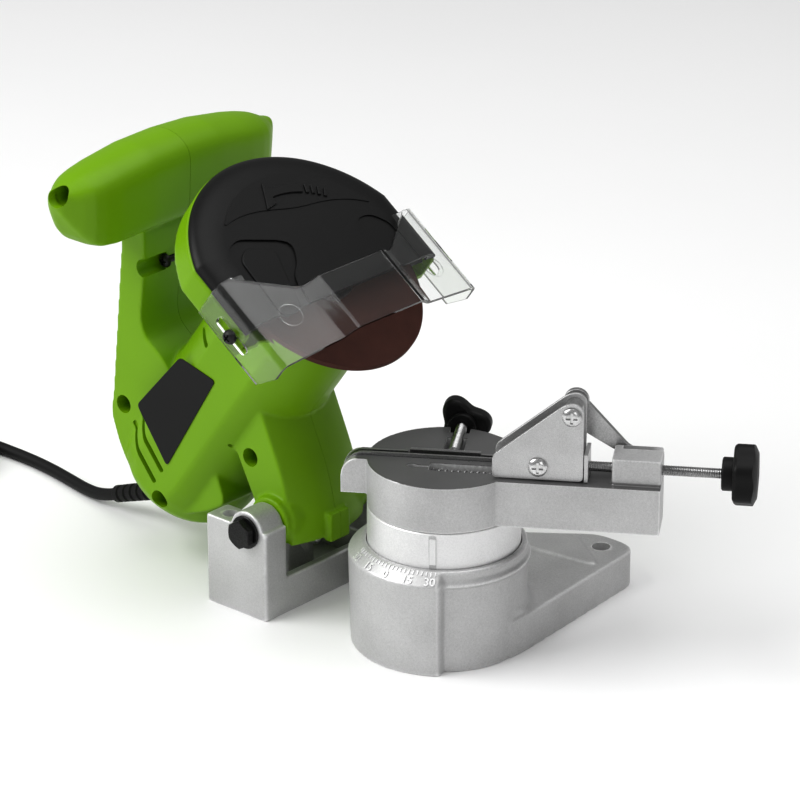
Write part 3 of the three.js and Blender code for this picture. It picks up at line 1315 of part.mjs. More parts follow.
// The rest of the cord in a flat coil of two layers, with the plug on its end
const coil_start = cord_points[cord_points.length - 1];
const coil_centre = [coil_start[0] - coil_lead - gap, coil_start[1] - coil_outer_r];
const coil_low_z = coil_start[2];
function coilPoints() {
  const points = [new THREE.Vector3(coil_start[0] - gap, coil_start[1], coil_low_z)];
  const place = (turns, r, z) => {
    const turn = PI / 2 + 2 * PI * turns;
    points.push(new THREE.Vector3(coil_centre[0] + r * cos(turn), coil_centre[1] + r * sin(turn), z));
  };
  const inward = coil_turns * coil_steps;
  const climb = coil_steps / 2;
  const outward = inward - climb;
  for (let i = 0; i <= inward; i += 1) place(i / coil_steps, coil_outer_r - (coil_pitch * i) / coil_steps, coil_low_z);
  const inner_r = coil_outer_r - coil_pitch * coil_turns;
  for (let i = 1; i < climb; i += 1) {
    place(coil_turns + i / coil_steps, inner_r, coil_low_z + (coil_rise * (1 - cos((PI * i) / climb))) / 2);
  }
  for (let i = 0; i <= outward; i += 1) {
    place(coil_turns + (climb + i) / coil_steps, inner_r + (coil_pitch * i) / coil_steps, coil_low_z + coil_rise);
  }
  const last = points[points.length - 1];
  points.push(new THREE.Vector3(last.x - coil_tail, last.y, last.z));
  return points;
}
const coil_points = coilPoints();
piece(model, 'cord_coil', tube(coil_points, cord_r, coil_wire_sides), rubber);

// Least clearance between a coil's own strands, apart from neighbours along the strand
function leastGap(points, r, skip) {
  let least = Infinity;
  for (let i = 0; i < points.length; i += 1) {
    for (let j = i + skip; j < points.length; j += 1) least = Math.min(least, points[i].distanceTo(points[j]) - 2 * r);
  }
  return least;
}
console.log(`least gap in the cord's coil: ${leastGap(coil_points, cord_r, coil_steps / 2).toFixed(2)} mm`);
const spring_gap = leastGap(spring_points, vise_spring_wire / 2, spring_steps / 2);
console.log(`least gap in the vise's spring: ${spring_gap.toFixed(2)} mm`);

// Plug with two pins, lying flat on the strand's end
const plug_at = coil_points[coil_points.length - 1];
const plug_start_x = plug_at.x - gap;
const plug_shell = turned([
  [0, 0], [plug_r * plug_neck_share, 0], [plug_r * plug_neck_share, plug_long / 8], [plug_r, plug_long / 2], [plug_r, plug_long],
  [0, plug_long],
], inner_sides).scale(1, plug_wide_share, 1);
const plug_pins = [-1, 1].map((side) => at(
  bar(plug_pin_r, plug_long - overrun, plug_long + plug_pin_long, plug_pin_sides), 0, (side * plug_pin_apart) / 2, 0,
));
piece(model, 'plug', at(join(plug_shell, ...plug_pins).rotateY(-PI / 2), plug_start_x, plug_at.y, plug_at.z), rubber);

// The model stands with its base centred: the middle of everything but the cord goes to the origin
const bounds = new THREE.Box3();
model.updateMatrixWorld(true);
model.traverse((node) => {
  if (node.isMesh && !cord_names.includes(node.name)) bounds.expandByObject(node, true);
});
const middle = bounds.getCenter(new THREE.Vector3());
model.position.set(-middle.x, -middle.y, -bounds.min.z);

export default model;
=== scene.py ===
import math

import bmesh
import bpy
from mathutils import Matrix, Vector


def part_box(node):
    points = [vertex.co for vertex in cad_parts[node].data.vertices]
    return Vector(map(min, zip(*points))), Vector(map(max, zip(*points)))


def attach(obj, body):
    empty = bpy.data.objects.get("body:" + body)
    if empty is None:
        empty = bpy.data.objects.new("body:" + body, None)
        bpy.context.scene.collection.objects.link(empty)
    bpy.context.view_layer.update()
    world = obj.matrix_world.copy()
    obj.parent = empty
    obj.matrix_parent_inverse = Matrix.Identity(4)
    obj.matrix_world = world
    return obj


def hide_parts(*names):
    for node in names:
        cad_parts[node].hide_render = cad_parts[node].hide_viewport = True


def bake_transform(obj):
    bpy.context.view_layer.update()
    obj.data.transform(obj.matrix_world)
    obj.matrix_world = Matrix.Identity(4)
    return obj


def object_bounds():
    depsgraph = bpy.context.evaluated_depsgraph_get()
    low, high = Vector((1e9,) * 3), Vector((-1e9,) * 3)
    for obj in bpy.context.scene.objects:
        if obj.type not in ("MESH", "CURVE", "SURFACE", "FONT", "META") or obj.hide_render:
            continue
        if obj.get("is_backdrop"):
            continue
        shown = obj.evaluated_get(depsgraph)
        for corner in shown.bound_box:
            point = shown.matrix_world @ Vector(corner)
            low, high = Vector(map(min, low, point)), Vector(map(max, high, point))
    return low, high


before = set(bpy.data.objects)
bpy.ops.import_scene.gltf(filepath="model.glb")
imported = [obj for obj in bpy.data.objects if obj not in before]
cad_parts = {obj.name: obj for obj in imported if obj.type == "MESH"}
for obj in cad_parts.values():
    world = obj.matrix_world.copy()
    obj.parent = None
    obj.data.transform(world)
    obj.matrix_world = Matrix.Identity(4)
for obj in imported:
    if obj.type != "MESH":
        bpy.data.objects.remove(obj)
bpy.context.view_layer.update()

# The bench and the camera. Sizes are in millimetres from the foot of the vise's swivel axis, as
# in the part's source, and BENCH turns them into metres in the frame. The camera stands where
# the round and square shapes of the photograph put it.
MM = 0.001
stud_low, stud_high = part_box("swivel_stud")
swivel_axis = ((stud_low.x + stud_high.x) / 2, (stud_low.y + stud_high.y) / 2, 0)
BENCH = Matrix.Translation(swivel_axis) @ Matrix.Scale(MM, 4)
camera_round, camera_turn, camera_down = 0.708, 0.720, 0.399  # radians
camera_reach, camera_rise, camera_film, camera_lens = 1762.8, 866.8, 36, 182.22
camera_near, camera_far = 0.1, 50  # metres


def linked(name, data):
    thing = bpy.data.objects.new(name, data)
    bpy.context.collection.objects.link(thing)
    return thing


lens = bpy.data.cameras.new("camera")
lens.sensor_width, lens.lens = camera_film, camera_lens
lens.clip_start, lens.clip_end = camera_near, camera_far
camera = linked("camera", lens)
camera_spot = (camera_reach * math.sin(camera_round), -camera_reach * math.cos(camera_round), camera_rise)
camera.location = BENCH @ Vector(camera_spot)
camera.rotation_euler = (math.pi / 2 - camera_down, 0, camera_turn)
bpy.context.scene.camera = camera


# Shapes are made as corners and faces, and every face is turned outwards
def shape(name, corners, faces, place=BENCH):
    mesh = bpy.data.meshes.new(name)
    mesh.from_pydata([place @ Vector(corner) for corner in corners], [], faces)
    work = bmesh.new()
    work.from_mesh(mesh)
    bmesh.ops.recalc_face_normals(work, faces=work.faces)
    work.to_mesh(mesh)
    work.free()
    return linked(name, mesh)


# The last step for every piece: smooth shading with crisp edges, its finish, body and CAD nodes
def fit(piece, name, finish, slot, body, *nodes, crisp=32):
    piece.name = name
    piece.data.shade_smooth()
    piece.data.set_sharp_from_angle(angle=math.radians(crisp))
    even = piece.modifiers.new("even", "WEIGHTED_NORMAL")
    even.keep_sharp = True
    piece.data.materials.clear()
    piece.data.materials.append(finish)
    if nodes:
        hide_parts(*nodes)
    if body:
        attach(piece, body)
    return piece


# Finishes. A Wire is a value in a finish, and sums and products of wires add Math nodes.
class Wire:
    def __init__(self, finish, socket):
        self.finish, self.socket = finish, socket

    def math(self, operation, first, second, clamp=False):
        return self.finish.node("ShaderNodeMath", {"operation": operation, "use_clamp": clamp}, {0: first, 1: second})

    def __add__(self, other):
        return self.math("ADD", self, other)

    def __sub__(self, other):
        return self.math("SUBTRACT", self, other)

    def __rsub__(self, other):
        return self.math("SUBTRACT", other, self)

    def __mul__(self, other):
        return self.math("MULTIPLY", self, other)

    def held(self):
        return self.math("ADD", self, 0.0, clamp=True)

    __radd__, __rmul__ = __add__, __mul__


class Finish:
    def __init__(self, name, **fixed):
        self.material = bpy.data.materials.new(name)
        self.material.use_nodes = True
        self.tree = self.material.node_tree
        self.surface = self.tree.nodes["Principled BSDF"]
        for socket, value in fixed.items():
            self.surface.inputs[socket.replace("_", " ")].default_value = value

    def node(self, kind, settings=None, sockets=None, out=0):
        node = self.tree.nodes.new(kind)
        for key, value in (settings or {}).items():
            setattr(node, key, value)
        for key, value in (sockets or {}).items():
            self.join(value, node.inputs[key])
        return Wire(self, node.outputs[out])

    def join(self, value, socket):
        if isinstance(value, Wire):
            self.tree.links.new(value.socket, socket)
        else:
            socket.default_value = value

    def place(self):
        return self.node("ShaderNodeTexCoord", out="Object")

    def noise(self, scale, detail=3.0, rough=0.6):
        return self.node("ShaderNodeTexNoise", {}, {
            "Vector": self.place(), "Scale": scale, "Detail": detail, "Roughness": rough,
        })

    def ramp(self, value, low, high):
        return self.node("ShaderNodeMapRange", {"interpolation_type": "SMOOTHSTEP"}, {
            "Value": value, "From Min": low, "From Max": high,
        })

    def blend(self, share, first, second):
        return self.node("ShaderNodeMix", {"data_type": "RGBA"}, {0: share, 6: first, 7: second}, out=2)

    def bump(self, height, strength, depth):
        return self.node("ShaderNodeBump", {}, {"Height": height, "Strength": strength, "Distance": depth})

    def dress(self, **sockets):
        for socket, value in sockets.items():
            self.join(value, self.surface.inputs[socket.replace("_", " ")])
        return self.material


def grey(value, tint=(1, 1, 1)):
    return (value * tint[0], value * tint[1], value * tint[2], 1)


# The mains cord: a round rubber-covered lead that runs down to the bench and away to the left,
# wound into a flat coil of two layers outside the picture, with a moulded plug on its end.
cord_r = 3.2
cord_route = [
    (-222.7, 0, 9.2), (-229.3, 0, 6.8), (-238, 0.8, 4.7), (-249, 2.6, 3.6), (-262, 5.2, 3.4), (-276, 7.8, 3.4),
    (-290, 9.6, 3.4), (-302, 10.4, 3.4), (-313, 10.6, 3.4), (-324, 10.6, 3.4), (-335, 10.6, 3.4), (-345, 10.6, 3.4),
]
coil_turns, coil_outer_r, coil_pitch, coil_steps, coil_rise, coil_tail = 3, 50, 8, 36, 8, 42
coil_centre = (-352.3, -39.4)


def smooth_route(points, steps=6):
    spots = [Vector(point) for point in points]
    spots = [2 * spots[0] - spots[1]] + spots + [2 * spots[-1] - spots[-2]]
    route = []
    for a, b, c, d in zip(spots, spots[1:], spots[2:], spots[3:]):
        for i in range(steps):
            t = i / steps
            bend, twist = 2 * a - 5 * b + 4 * c - d, 3 * b - a - 3 * c + d
            route.append(0.5 * (2 * b + (c - a) * t + bend * t * t + twist * t ** 3))
    return route + [spots[-2]]


def wound():
    spots = []

    def put(turns, r, z):
        turn = math.pi / 2 + 2 * math.pi * turns
        spots.append(Vector((coil_centre[0] + r * math.cos(turn), coil_centre[1] + r * math.sin(turn), z)))

    low, inner, climb = cord_route[-1][2], coil_outer_r - coil_pitch * coil_turns, coil_steps // 2
    inward = coil_turns * coil_steps
    for i in range(inward + 1):
        put(i / coil_steps, coil_outer_r - coil_pitch * i / coil_steps, low)
    for i in range(1, climb):
        put(coil_turns + i / coil_steps, inner, low + coil_rise * (1 - math.cos(math.pi * i / climb)) / 2)
    for i in range(inward - climb + 1):
        put(coil_turns + (climb + i) / coil_steps, inner + coil_pitch * i / coil_steps, low + coil_rise)
    end = spots[-1]
    return spots + [Vector((end.x - coil_tail * share, end.y, end.z)) for share in (0.25, 0.5, 0.75, 1)]


def tube(name, route, r, sides, place=BENCH):
    corners, faces, normal = [], [], Vector((0, 0, 1))
    for i, spot in enumerate(route):
        along = (route[min(i + 1, len(route) - 1)] - route[max(i - 1, 0)]).normalized()
        normal = (normal - along * normal.dot(along)).normalized()
        side = along.cross(normal)
        for k in range(sides):
            turn = 2 * math.pi * k / sides
            corners.append(spot + r * (normal * math.cos(turn) + side * math.sin(turn)))
    for i in range(len(route) - 1):
        for k in range(sides):
            j = (k + 1) % sides
            faces.append((i * sides + k, i * sides + j, (i + 1) * sides + j, (i + 1) * sides + k))
    faces.append(tuple(range(sides)))
    faces.append(tuple(range((len(route) - 1) * sides, len(route) * sides)))
    return shape(name, corners, faces, place)


def rubber_finish():
    finish = Finish("cord_rubber", Specular_IOR_Level=0.25)
    grain = finish.noise(2600.0, rough=0.7)
    smear = finish.noise(45.0, detail=2.0, rough=0.5)
    colour = finish.blend(smear * 0.6 + grain * 0.4, grey(0.004), grey(0.014))
    return finish.dress(
        Base_Color=colour, Roughness=0.42 + smear * 0.22, Normal=finish.bump(grain, strength=0.25, depth=0.0002),
    )


rubber = rubber_finish()
cord_spots = smooth_route(cord_route) + wound()[1:]
cord = tube("mains_cord", cord_spots, cord_r, 16)
fit(cord, "mains_cord", rubber, "cord_rubber", None, "power_cord", "cord_coil", crisp=60)
cord_path = [BENCH @ spot for spot in cord_spots]
cord_length = sum((b - a).length for a, b in zip(cord_path, cord_path[1:]))


# A skin through rows of corners, each row a loop: closed by a face at both ends, or into a ring
def loft(name, rows, place=BENCH, closed=False):
    count, faces = len(rows[0]), []
    for j in range(len(rows) - (not closed)):
        row, after = j * count, (j + 1) % len(rows) * count
        for i in range(count):
            k = (i + 1) % count
            faces.append((row + i, row + k, after + k, after + i))
    if not closed:
        faces += [tuple(range(count)), tuple(range((len(rows) - 1) * count, len(rows) * count))]
    return shape(name, [corner for row in rows for corner in row], faces, place)


def turned(name, outline, place=BENCH, sides=96, bored=False):
    turns = [2 * math.pi * k / sides for k in range(sides)]
    tip = 0.02  # what stands on the axis keeps a tiny radius
    rows = [[(max(r, tip) * math.cos(turn), max(r, tip) * math.sin(turn), z) for turn in turns] for r, z in outline]
    return loft(name, rows, place, bored)


def bar(name, r, low, high, place=BENCH, edge=0.0, sides=96):
    rounding = [(r, 0)]
    if edge:
        turns = [math.pi / 8 * i for i in range(5)]
        rounding = [(r - edge * (1 - math.sin(turn)), edge * (1 - math.cos(turn))) for turn in turns]
    outline = [(x, low + z) for x, z in rounding] + [(x, high - z) for x, z in reversed(rounding)]
    return turned(name, outline, place, sides)


# The two-pin plug on the cord's end, moulded in the cord's rubber round two turned steel pins. Its
# body is wider than it is thick, with four finger grips round it, and stands off the cord's end.
TURN_BACK = Matrix.Rotation(-math.pi / 2, 4, "Y")
plug_long, plug_r, plug_wide, plug_gap, grip_pitch = 34, 10, 1.4, 0.3, 3
plug_pin_r, plug_pin_long, plug_pin_apart = 2.4, 19, 19
plug_start = cord_spots[-1] - Vector((plug_gap, 0, 0))
PLUG = BENCH @ Matrix.Translation(plug_start) @ TURN_BACK
plug_outline = [(0, 0), (4.4, 0), (5, 0.6), (5.2, 4), (6.4, 7), (8.6, 11), (9.8, 15), (plug_r, 18)]
for i in range(4):
    grip = [(plug_r, 18.6), (9.3, 19.2), (9.3, 20.2), (plug_r, 20.8)]
    plug_outline += [(r, z + grip_pitch * i) for r, z in grip]
plug_outline += [(plug_r, plug_long - 1), (9.4, plug_long), (0, plug_long)]
plug = turned("mains_plug", plug_outline, PLUG @ Matrix.Diagonal((1, plug_wide, 1, 1)), 64)
fit(plug, "mains_plug", rubber, "cord_rubber", "base", "plug", crisp=40)


def metal_finish(name, dark, light, grain_scale, rough, depth, metal=1.0):
    finish = Finish(name)
    grain = finish.noise(grain_scale, detail=4.0, rough=0.65)
    cloud = finish.noise(38.0, rough=0.55)
    share = finish.ramp(grain * 0.6 + cloud * 0.4, 0.3, 0.7)
    return finish.dress(
        Base_Color=finish.blend(share, dark, light), Metallic=metal,
        Roughness=rough + cloud * 0.14 - share * 0.05, Normal=finish.bump(grain, strength=0.35, depth=depth),
    )


machined = metal_finish("machined_steel", grey(0.30), grey(0.52), grain_scale=900.0, rough=0.24, depth=0.0001)
blackened = metal_finish(
    "blackened_steel", grey(0.012), grey(0.045), grain_scale=1200.0, rough=0.34, depth=0.0001, metal=0.7,
)
for side, across in (("left", -plug_pin_apart / 2), ("right", plug_pin_apart / 2)):
    place = PLUG @ Matrix.Translation((0, across, 0))
    plug_pin = bar("plug_pin", plug_pin_r, plug_long - 2, plug_long + plug_pin_long, place, plug_pin_r / 2, 32)
    fit(plug_pin, f"plug_pin_{side}", machined, "machined_steel", "base")
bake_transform(cord)


# Base casting: two hinge lugs on a channelled crossbar, the round tower with its scale collar and
# a wide flat foot. One sand-blasted aluminium casting, so every edge and inner corner is soft. It
# is drawn as overlapping bodies under one skin, and what is machined is cut afterwards.


# soft rounds an outline's corners, from reach before a corner to reach after it
def soft(points, reach, steps=4, closed=True):
    drawn = []
    for i, point in enumerate(points):
        if not closed and i in (0, len(points) - 1):
            drawn.append(tuple(point))
            continue
        spot, before, after = Vector(point), Vector(points[i - 1]), Vector(points[(i + 1) % len(points)])
        start = spot.lerp(before, min(0.49, reach / (before - spot).length))
        end = spot.lerp(after, min(0.49, reach / (after - spot).length))
        shares = [k / steps for k in range(steps + 1)]
        drawn += [tuple(start.lerp(spot, share).lerp(spot.lerp(end, share), share)) for share in shares]
    return drawn


# inset moves an outline inwards, and slab raises one from low to high with rounded edges
def inset(points, by):
    area = sum(a[0] * b[1] - b[0] * a[1] for a, b in zip(points, points[1:] + points[:1]))
    way = 1 if area > 0 else -1
    normals = []
    for (x, y), (u, v) in zip(points, points[1:] + points[:1]):
        length = math.hypot(u - x, v - y)
        normals.append((-way * (v - y) / length, way * (u - x) / length))
    drawn = []
    for i, (x, y) in enumerate(points):
        (a, b), (c, d) = normals[i - 1], normals[i]
        spread = by / (1 + a * c + b * d)
        drawn.append((x + (a + c) * spread, y + (b + d) * spread))
    return drawn


def slab(name, outline, low, high, place=BENCH, edge=0.0, steps=4):
    rings = [(0, 0)]
    if edge:
        turns = [math.pi / 2 * i / steps for i in range(steps + 1)]
        rings = [(edge * (1 - math.sin(turn)), edge * (1 - math.cos(turn))) for turn in turns]
    rows = [(by, low + up) for by, up in rings] + [(by, high - up) for by, up in reversed(rings)]
    return loft(name, [[(x, y, z) for x, y in inset(outline, by)] for by, z in rows], place)


def block(name, x0, x1, y0, y1, z0, z1, place=BENCH, edge=0.0, round_to=0.0):
    outline = [(x0, y0), (x1, y0), (x1, y1), (x0, y1)]
    return slab(name, soft(outline, round_to) if round_to else outline, z0, z1, place, edge)


def settle(body):
    bpy.context.view_layer.update()
    made = bpy.data.meshes.new_from_object(body.evaluated_get(bpy.context.evaluated_depsgraph_get()))
    body.modifiers.clear()
    body.data = made
    return body


def combine(how, body, tools):
    for tool in tools:
        step = body.modifiers.new(how, "BOOLEAN")
        step.operation, step.solver, step.object = how, "MANIFOLD", tool
    settle(body)
    for tool in tools:
        bpy.data.objects.remove(tool)
    return body


def cut(body, *tools):
    return combine("DIFFERENCE", body, tools)


def join(body, *tools):
    return combine("UNION", body, tools)


def common(body, *tools):
    return combine("INTERSECT", body, tools)


# cast lays one skin over bodies that overlap, softens it in rounds and keeps a share of its faces
def cast(name, parts, voxel, rounds, keep):
    work = bmesh.new()
    for part in parts:
        work.from_mesh(part.data)
        bpy.data.objects.remove(part)
    mesh = bpy.data.meshes.new(name)
    work.to_mesh(mesh)
    work.free()
    body = linked(name, mesh)
    skin = body.modifiers.new("skin", "REMESH")
    skin.mode, skin.voxel_size = "VOXEL", voxel * MM
    soften = body.modifiers.new("soften", "SMOOTH")
    soften.factor, soften.iterations = 0.5, rounds
    fewer = body.modifiers.new("fewer", "DECIMATE")
    fewer.ratio = keep
    return settle(body)


ALONG_X = Matrix.Rotation(math.pi / 2, 4, "Y")
ALONG_Y = Matrix.Rotation(-math.pi / 2, 4, "X")


def at(x, y, z, place=BENCH):
    return place @ Matrix.Translation((x, y, z))


def spun(axis, degrees):
    return Matrix.Rotation(math.radians(degrees), 4, axis)


HINGE = at(-86.5, 0, 45)
STOP = at(-81, 0, 26.6) @ spun("Y", -8)
lug_back, lug_front, lug_in, lug_out, lug_top, floor_top = -113.5, -73.8, 31.1, 46.7, 47, 19.1
tower_r, tower_top, tower_edge, tower_bore, stud_hole_r = 40.2, 52.5, 0.8, 37.5, 5.3
collar_foot, collar_top, collar_bevel, bevel_r, collar_root = 45.1, 46.1, 46.9, 39.6, 38
collar_end, collar_step = -53.5, 2  # degrees
boss_r, pin_hole_r, lug_hole_r, lug_hole_at, foot_hole_r = 10.5, 4.3, 4, (-104, 38.9), 4.6
foot_hole_at = (19, 97.6, 0)
foot_outline = [
    (-73.9, 24), (-30.1, 0), (0, -9.8), (40.1, -3.3), (41.3, 9.8), (33.5, 104.1), (27.3, 109), (8.3, 109),
    (-17.3, 89.4), (-73.9, 46.7),
]
soft_foot = soft(foot_outline, 6)
parts = [block("bar", lug_back, lug_front, -lug_out, lug_out, 0, floor_top, round_to=1.5)]
for side in (-1, 1):
    low, high = sorted((side * lug_in, side * lug_out))
    parts.append(block("lug", lug_back, lug_front, low, high, 0, lug_top, round_to=1.5))
    parts.append(bar("boss", boss_r, low, high, HINGE @ ALONG_Y))
parts.append(slab("foot", soft_foot, 0, floor_top))
pad = slab("pad", soft([(-16.3, 71.9), (32.7, 78.5), (-2.2, 101.4), (-41.4, 88.3)], 8), 15, floor_top + 0.9)
parts.append(common(pad, slab("edge", inset(soft_foot, 3), 0, 40)))
tower = [(0, 0), (tower_r, 0), (tower_r, tower_top - tower_edge), (tower_r - tower_edge, tower_top), (0, tower_top)]
parts.append(turned("tower", tower))
bead = [(38, 44), (41, 44.2), (41.8, 45.2), (41.8, 46.2), (41, 47), (38, 47.2)]
parts.append(turned("bead", bead, bored=True))
collar = [
    (collar_root, 0), (collar_foot, 0), (collar_top, collar_bevel), (bevel_r, tower_top), (collar_root, tower_top),
]
# The collar goes round half the tower, and over the last degrees it eases into the tower's wall
eased = [(7, 0), (5.6, 0.08), (4.4, 0.25), (3.2, 0.5), (2, 0.75), (0.8, 0.92)]
collar_rows = [(collar_end + turn, size) for turn, size in eased]
collar_rows += [(collar_end - collar_step * i, 1) for i in range(180 // collar_step + 1)]
collar_rows += [(collar_end - 180 - turn, size) for turn, size in reversed(eased)]
rows = []
for turn, size in collar_rows:
    wall = collar_root + 1
    outline = [(wall + (r - wall) * size if r > wall else r, z) for r, z in collar]
    rows.append([(r * math.cos(math.radians(turn)), r * math.sin(math.radians(turn)), z) for r, z in outline])
parts.append(loft("collar", rows))
fillet = turned("fillet", [(38, 17), (46.5, 18.9), (43.4, 19.9), (41.6, 21.6), (40.6, 24), (38, 25)], bored=True)
parts.append(common(fillet, slab("edge", inset(soft_foot, 1), 0, 40)))
base = cast("base", parts, voxel=0.75, rounds=6, keep=0.4)
# What is machined or cored: the crossbar's channel, the tower's bore, the room below it, the holes
# for the stud, the bench screws and the hinge pin, and the hollow underside
spaces = [
    block("channel", lug_back + 4, lug_front - 4, -lug_in + 2, lug_in - 2, floor_top - 12, floor_top + 4, round_to=3),
    turned("bore", [(0, 25), (tower_bore, 25), (tower_bore, tower_top + 2), (0, tower_top + 2)], sides=128),
    bar("cellar", 33.5, -2, 17), bar("stud_hole", stud_hole_r, -2, 54),
    bar("foot_hole", foot_hole_r, -2, 22, at(*foot_hole_at)), bar("pin_hole", pin_hole_r, -50, 50, HINGE @ ALONG_Y),
    *[bar("lug_hole", lug_hole_r, -2, 49, at(lug_hole_at[0], side * lug_hole_at[1], 0)) for side in (-1, 1)],
]
under = cut(
    slab("under", inset(soft_foot, 4), -2, 15.1), bar("rim", tower_r, -4, 20),
    block("rim", lug_back, lug_front, -lug_out, lug_out, -4, 20),
    bar("rim", foot_hole_r + 4, -4, 20, at(*foot_hole_at)),
)
cut(base, *spaces, under)
join(base, block("block", lug_back + 0.5, -93, -9, 9, 2, 30.6, edge=1.2, round_to=1.2))
cut(base, bar("stop_hole", 3.3, -96, 48, STOP @ ALONG_X))


def cast_finish():
    finish = Finish("cast_aluminium")
    speck = finish.noise(2800.0, rough=0.7)
    coarse = finish.noise(900.0)
    cloud = finish.noise(24.0, rough=0.5)
    # edge marks sharp convex edges, where the colour is painted lighter: a painted highlight along the casting's
    # rounded edges
    edge = finish.ramp(finish.node("ShaderNodeNewGeometry", out=7), 0.505, 0.55)
    share = (finish.ramp(speck * 0.45 + coarse * 0.2 + cloud * 0.35, 0.3, 0.7) * 0.55 + edge * 0.6).held()
    # The vise's table and rails are milled and smoother than the blasted sides; their top gets a painted shade, a
    # darker colour
    height = finish.node("ShaderNodeSeparateXYZ", {}, {0: finish.place()}, out=2)
    milled_and_shaded_top = finish.ramp(height, 0.0936, 0.0940) * (1 - finish.ramp(height, 0.0950, 0.0960))
    colour = finish.blend(share, grey(0.40), grey(0.82))
    # Painted shade: the top band takes a dark grey in place of the blasted colour
    colour = finish.blend(milled_and_shaded_top, colour, finish.blend(cloud, grey(0.13), grey(0.22)))
    return finish.dress(
        Base_Color=colour, Metallic=0.55, Roughness=0.42 + speck * 0.1 - milled_and_shaded_top * 0.14 - edge * 0.06,
        Normal=finish.bump(speck * 0.7 + coarse * 0.3, strength=0.4 - milled_and_shaded_top * 0.3, depth=0.00012),
    )


blasted = cast_finish()
fit(base, "base_casting_shell", blasted, "cast_aluminium", "base", "base_casting", crisp=48)

# The scale on the collar's bevel, cast with the base: a raised mark every three degrees near the
# bevel's upper edge, longer at every fifth, and raised numbers below them
scale_middle, scale_pitch, scale_half = -88.4, 3.05, 11  # degrees, and marks to each side
mark_top, mark_foot, mark_foot_long, mark_half, mark_high = 8.1, 6.0, 5.5, 0.3, 0.4
scale_numbers = [
    (-119, "30", "left"), (-103.5, "15", "left"), (scale_middle, "0", "middle"), (-72.7, "15", "right"),
    (-58.4, "30", "right"),
]
number_tall, number_high, number_bold, number_foot = 0.0056, 0.0005, 0.00008, 1.0
BEVEL_FALL = math.atan2(tower_top - collar_bevel, collar_top - bevel_r)


# A frame on the bevel's lower edge, its x up the bevel towards the tower
def on_bevel(azimuth):
    spot = at(collar_top, 0, collar_bevel, spun("Z", azimuth))
    return BENCH @ spot @ Matrix.Scale(-1, 4, (1, 0, 0)) @ Matrix.Rotation(-BEVEL_FALL, 4, "Y")


ticks, *marks = [
    block(
        "mark", mark_foot if i % 5 else mark_foot_long, mark_top, -mark_half, mark_half, -0.5, mark_high,
        on_bevel(scale_middle + scale_pitch * i), 0.12,
    )
    for i in range(-scale_half, scale_half + 1)
]
fit(join(ticks, *marks), "scale_ticks", blasted, "cast_aluminium", "base", crisp=50)
for azimuth, number, side_name in scale_numbers:
    text = bpy.data.curves.new("number", "FONT")
    text.body, text.size, text.extrude, text.offset = number, number_tall, number_high, number_bold
    text.align_x = "CENTER"
    writing = linked("number", text)
    settled = bpy.data.meshes.new_from_object(writing.evaluated_get(bpy.context.evaluated_depsgraph_get()))
    bpy.data.objects.remove(writing)
    turn = math.radians(azimuth)
    out = Vector((math.cos(turn), math.sin(turn), 0))
    side, rise = Vector((-out.y, out.x, 0)), Vector((0, 0, 1))
    up = (rise * math.sin(BEVEL_FALL) - out * math.cos(BEVEL_FALL)).normalized()
    face = side.cross(up)
    spot = out * collar_top + rise * collar_bevel + up * number_foot
    turn_to = Matrix((side, up, face)).transposed().to_4x4()
    settled.transform(at(*spot) @ turn_to @ Matrix.Scale(1 / MM, 4))
    fit(linked("number", settled), f"scale_number_{number}_{side_name}", blasted, "cast_aluminium", "base")


# Hinge pin: a blackened steel bolt with a hexagon head, through both lugs and the head's foot, with
# a washer at each end and a nut on the far side
bolt_flats, bolt_r, bolt_pitch, washer_bore, washer_r = 13, 4, 1.25, 4.3, 8.4


def hexagon(name, flats, low, high, place, chamfer=0.5, bore=0.0):
    reach = flats / math.sqrt(3)
    outline = [(reach * math.sin(math.pi * k / 3), reach * math.cos(math.pi * k / 3)) for k in range(6)]
    body = slab(name, outline, low, high, place)
    inner, outer, fall = flats / 2 * 0.94, reach * 1.01, chamfer * 1.6
    dome = [(0, low), (inner, low), (outer, low + fall), (outer, high - fall), (inner, high), (0, high)]
    body = common(body, turned("dome", dome, place))
    return cut(body, bar("bore", bore, low - 2, high + 2, place, sides=48)) if bore else body


def washer(name, inner, outer, low, high, place, edge=0.2):
    outline = [
        (inner, low), (outer - edge, low), (outer, low + edge), (outer, high - edge), (outer - edge, high),
        (inner, high),
    ]
    return turned(name, outline, place, 64, bored=True)


def threaded(name, r, start, end, pitch, place, depth=0.35):
    rows, z, sides, rows_a_turn = [], start, 40, 5
    while z < end:
        row = []
        for k in range(sides):
            phase, turn = (z / pitch - k / sides) % 1, 2 * math.pi * k / sides
            reach = r - depth * abs(2 * phase - 1)
            row.append((reach * math.cos(turn), reach * math.sin(turn), z))
        rows.append(row)
        z += pitch / rows_a_turn
    return loft(name, rows, place)


pin = HINGE @ ALONG_Y
bolt = hexagon("bolt", bolt_flats, -52.6, -48.2, pin)
join(bolt, bar("shank", bolt_r, -50, 50, pin), threaded("thread", bolt_r, 48, 59.3, bolt_pitch, pin, 0.5))
fit(bolt, "hinge_bolt", blackened, "dark_steel", "base", "pivot_bolt")
for side_name, low, high, finish, steel in (
    ("front", -48, -46.9, blackened, "dark_steel"), ("rear", 47, 48.2, machined, "machined_steel"),
):
    ring = washer("washer", washer_bore, washer_r, low, high, pin)
    fit(ring, f"hinge_washer_{side_name}", finish, steel, "base", f"pivot_washer_{side_name}")
fit(hexagon("nut", bolt_flats, 48.5, 56.5, pin, bore=4.4), "hinge_nut", blackened, "dark_steel", "base", "pivot_nut")


# Depth stop: a steel screw with a round tip in the crossbar's block, which the head's foot meets at
# the end of its tilt, with a washer and a lobed plastic knob pressed on its back end
stop_screw_r, stop_knob_r, stop_knob_back, stop_knob_thick, stop_bore = 3, 10, 36, 8, 3.3


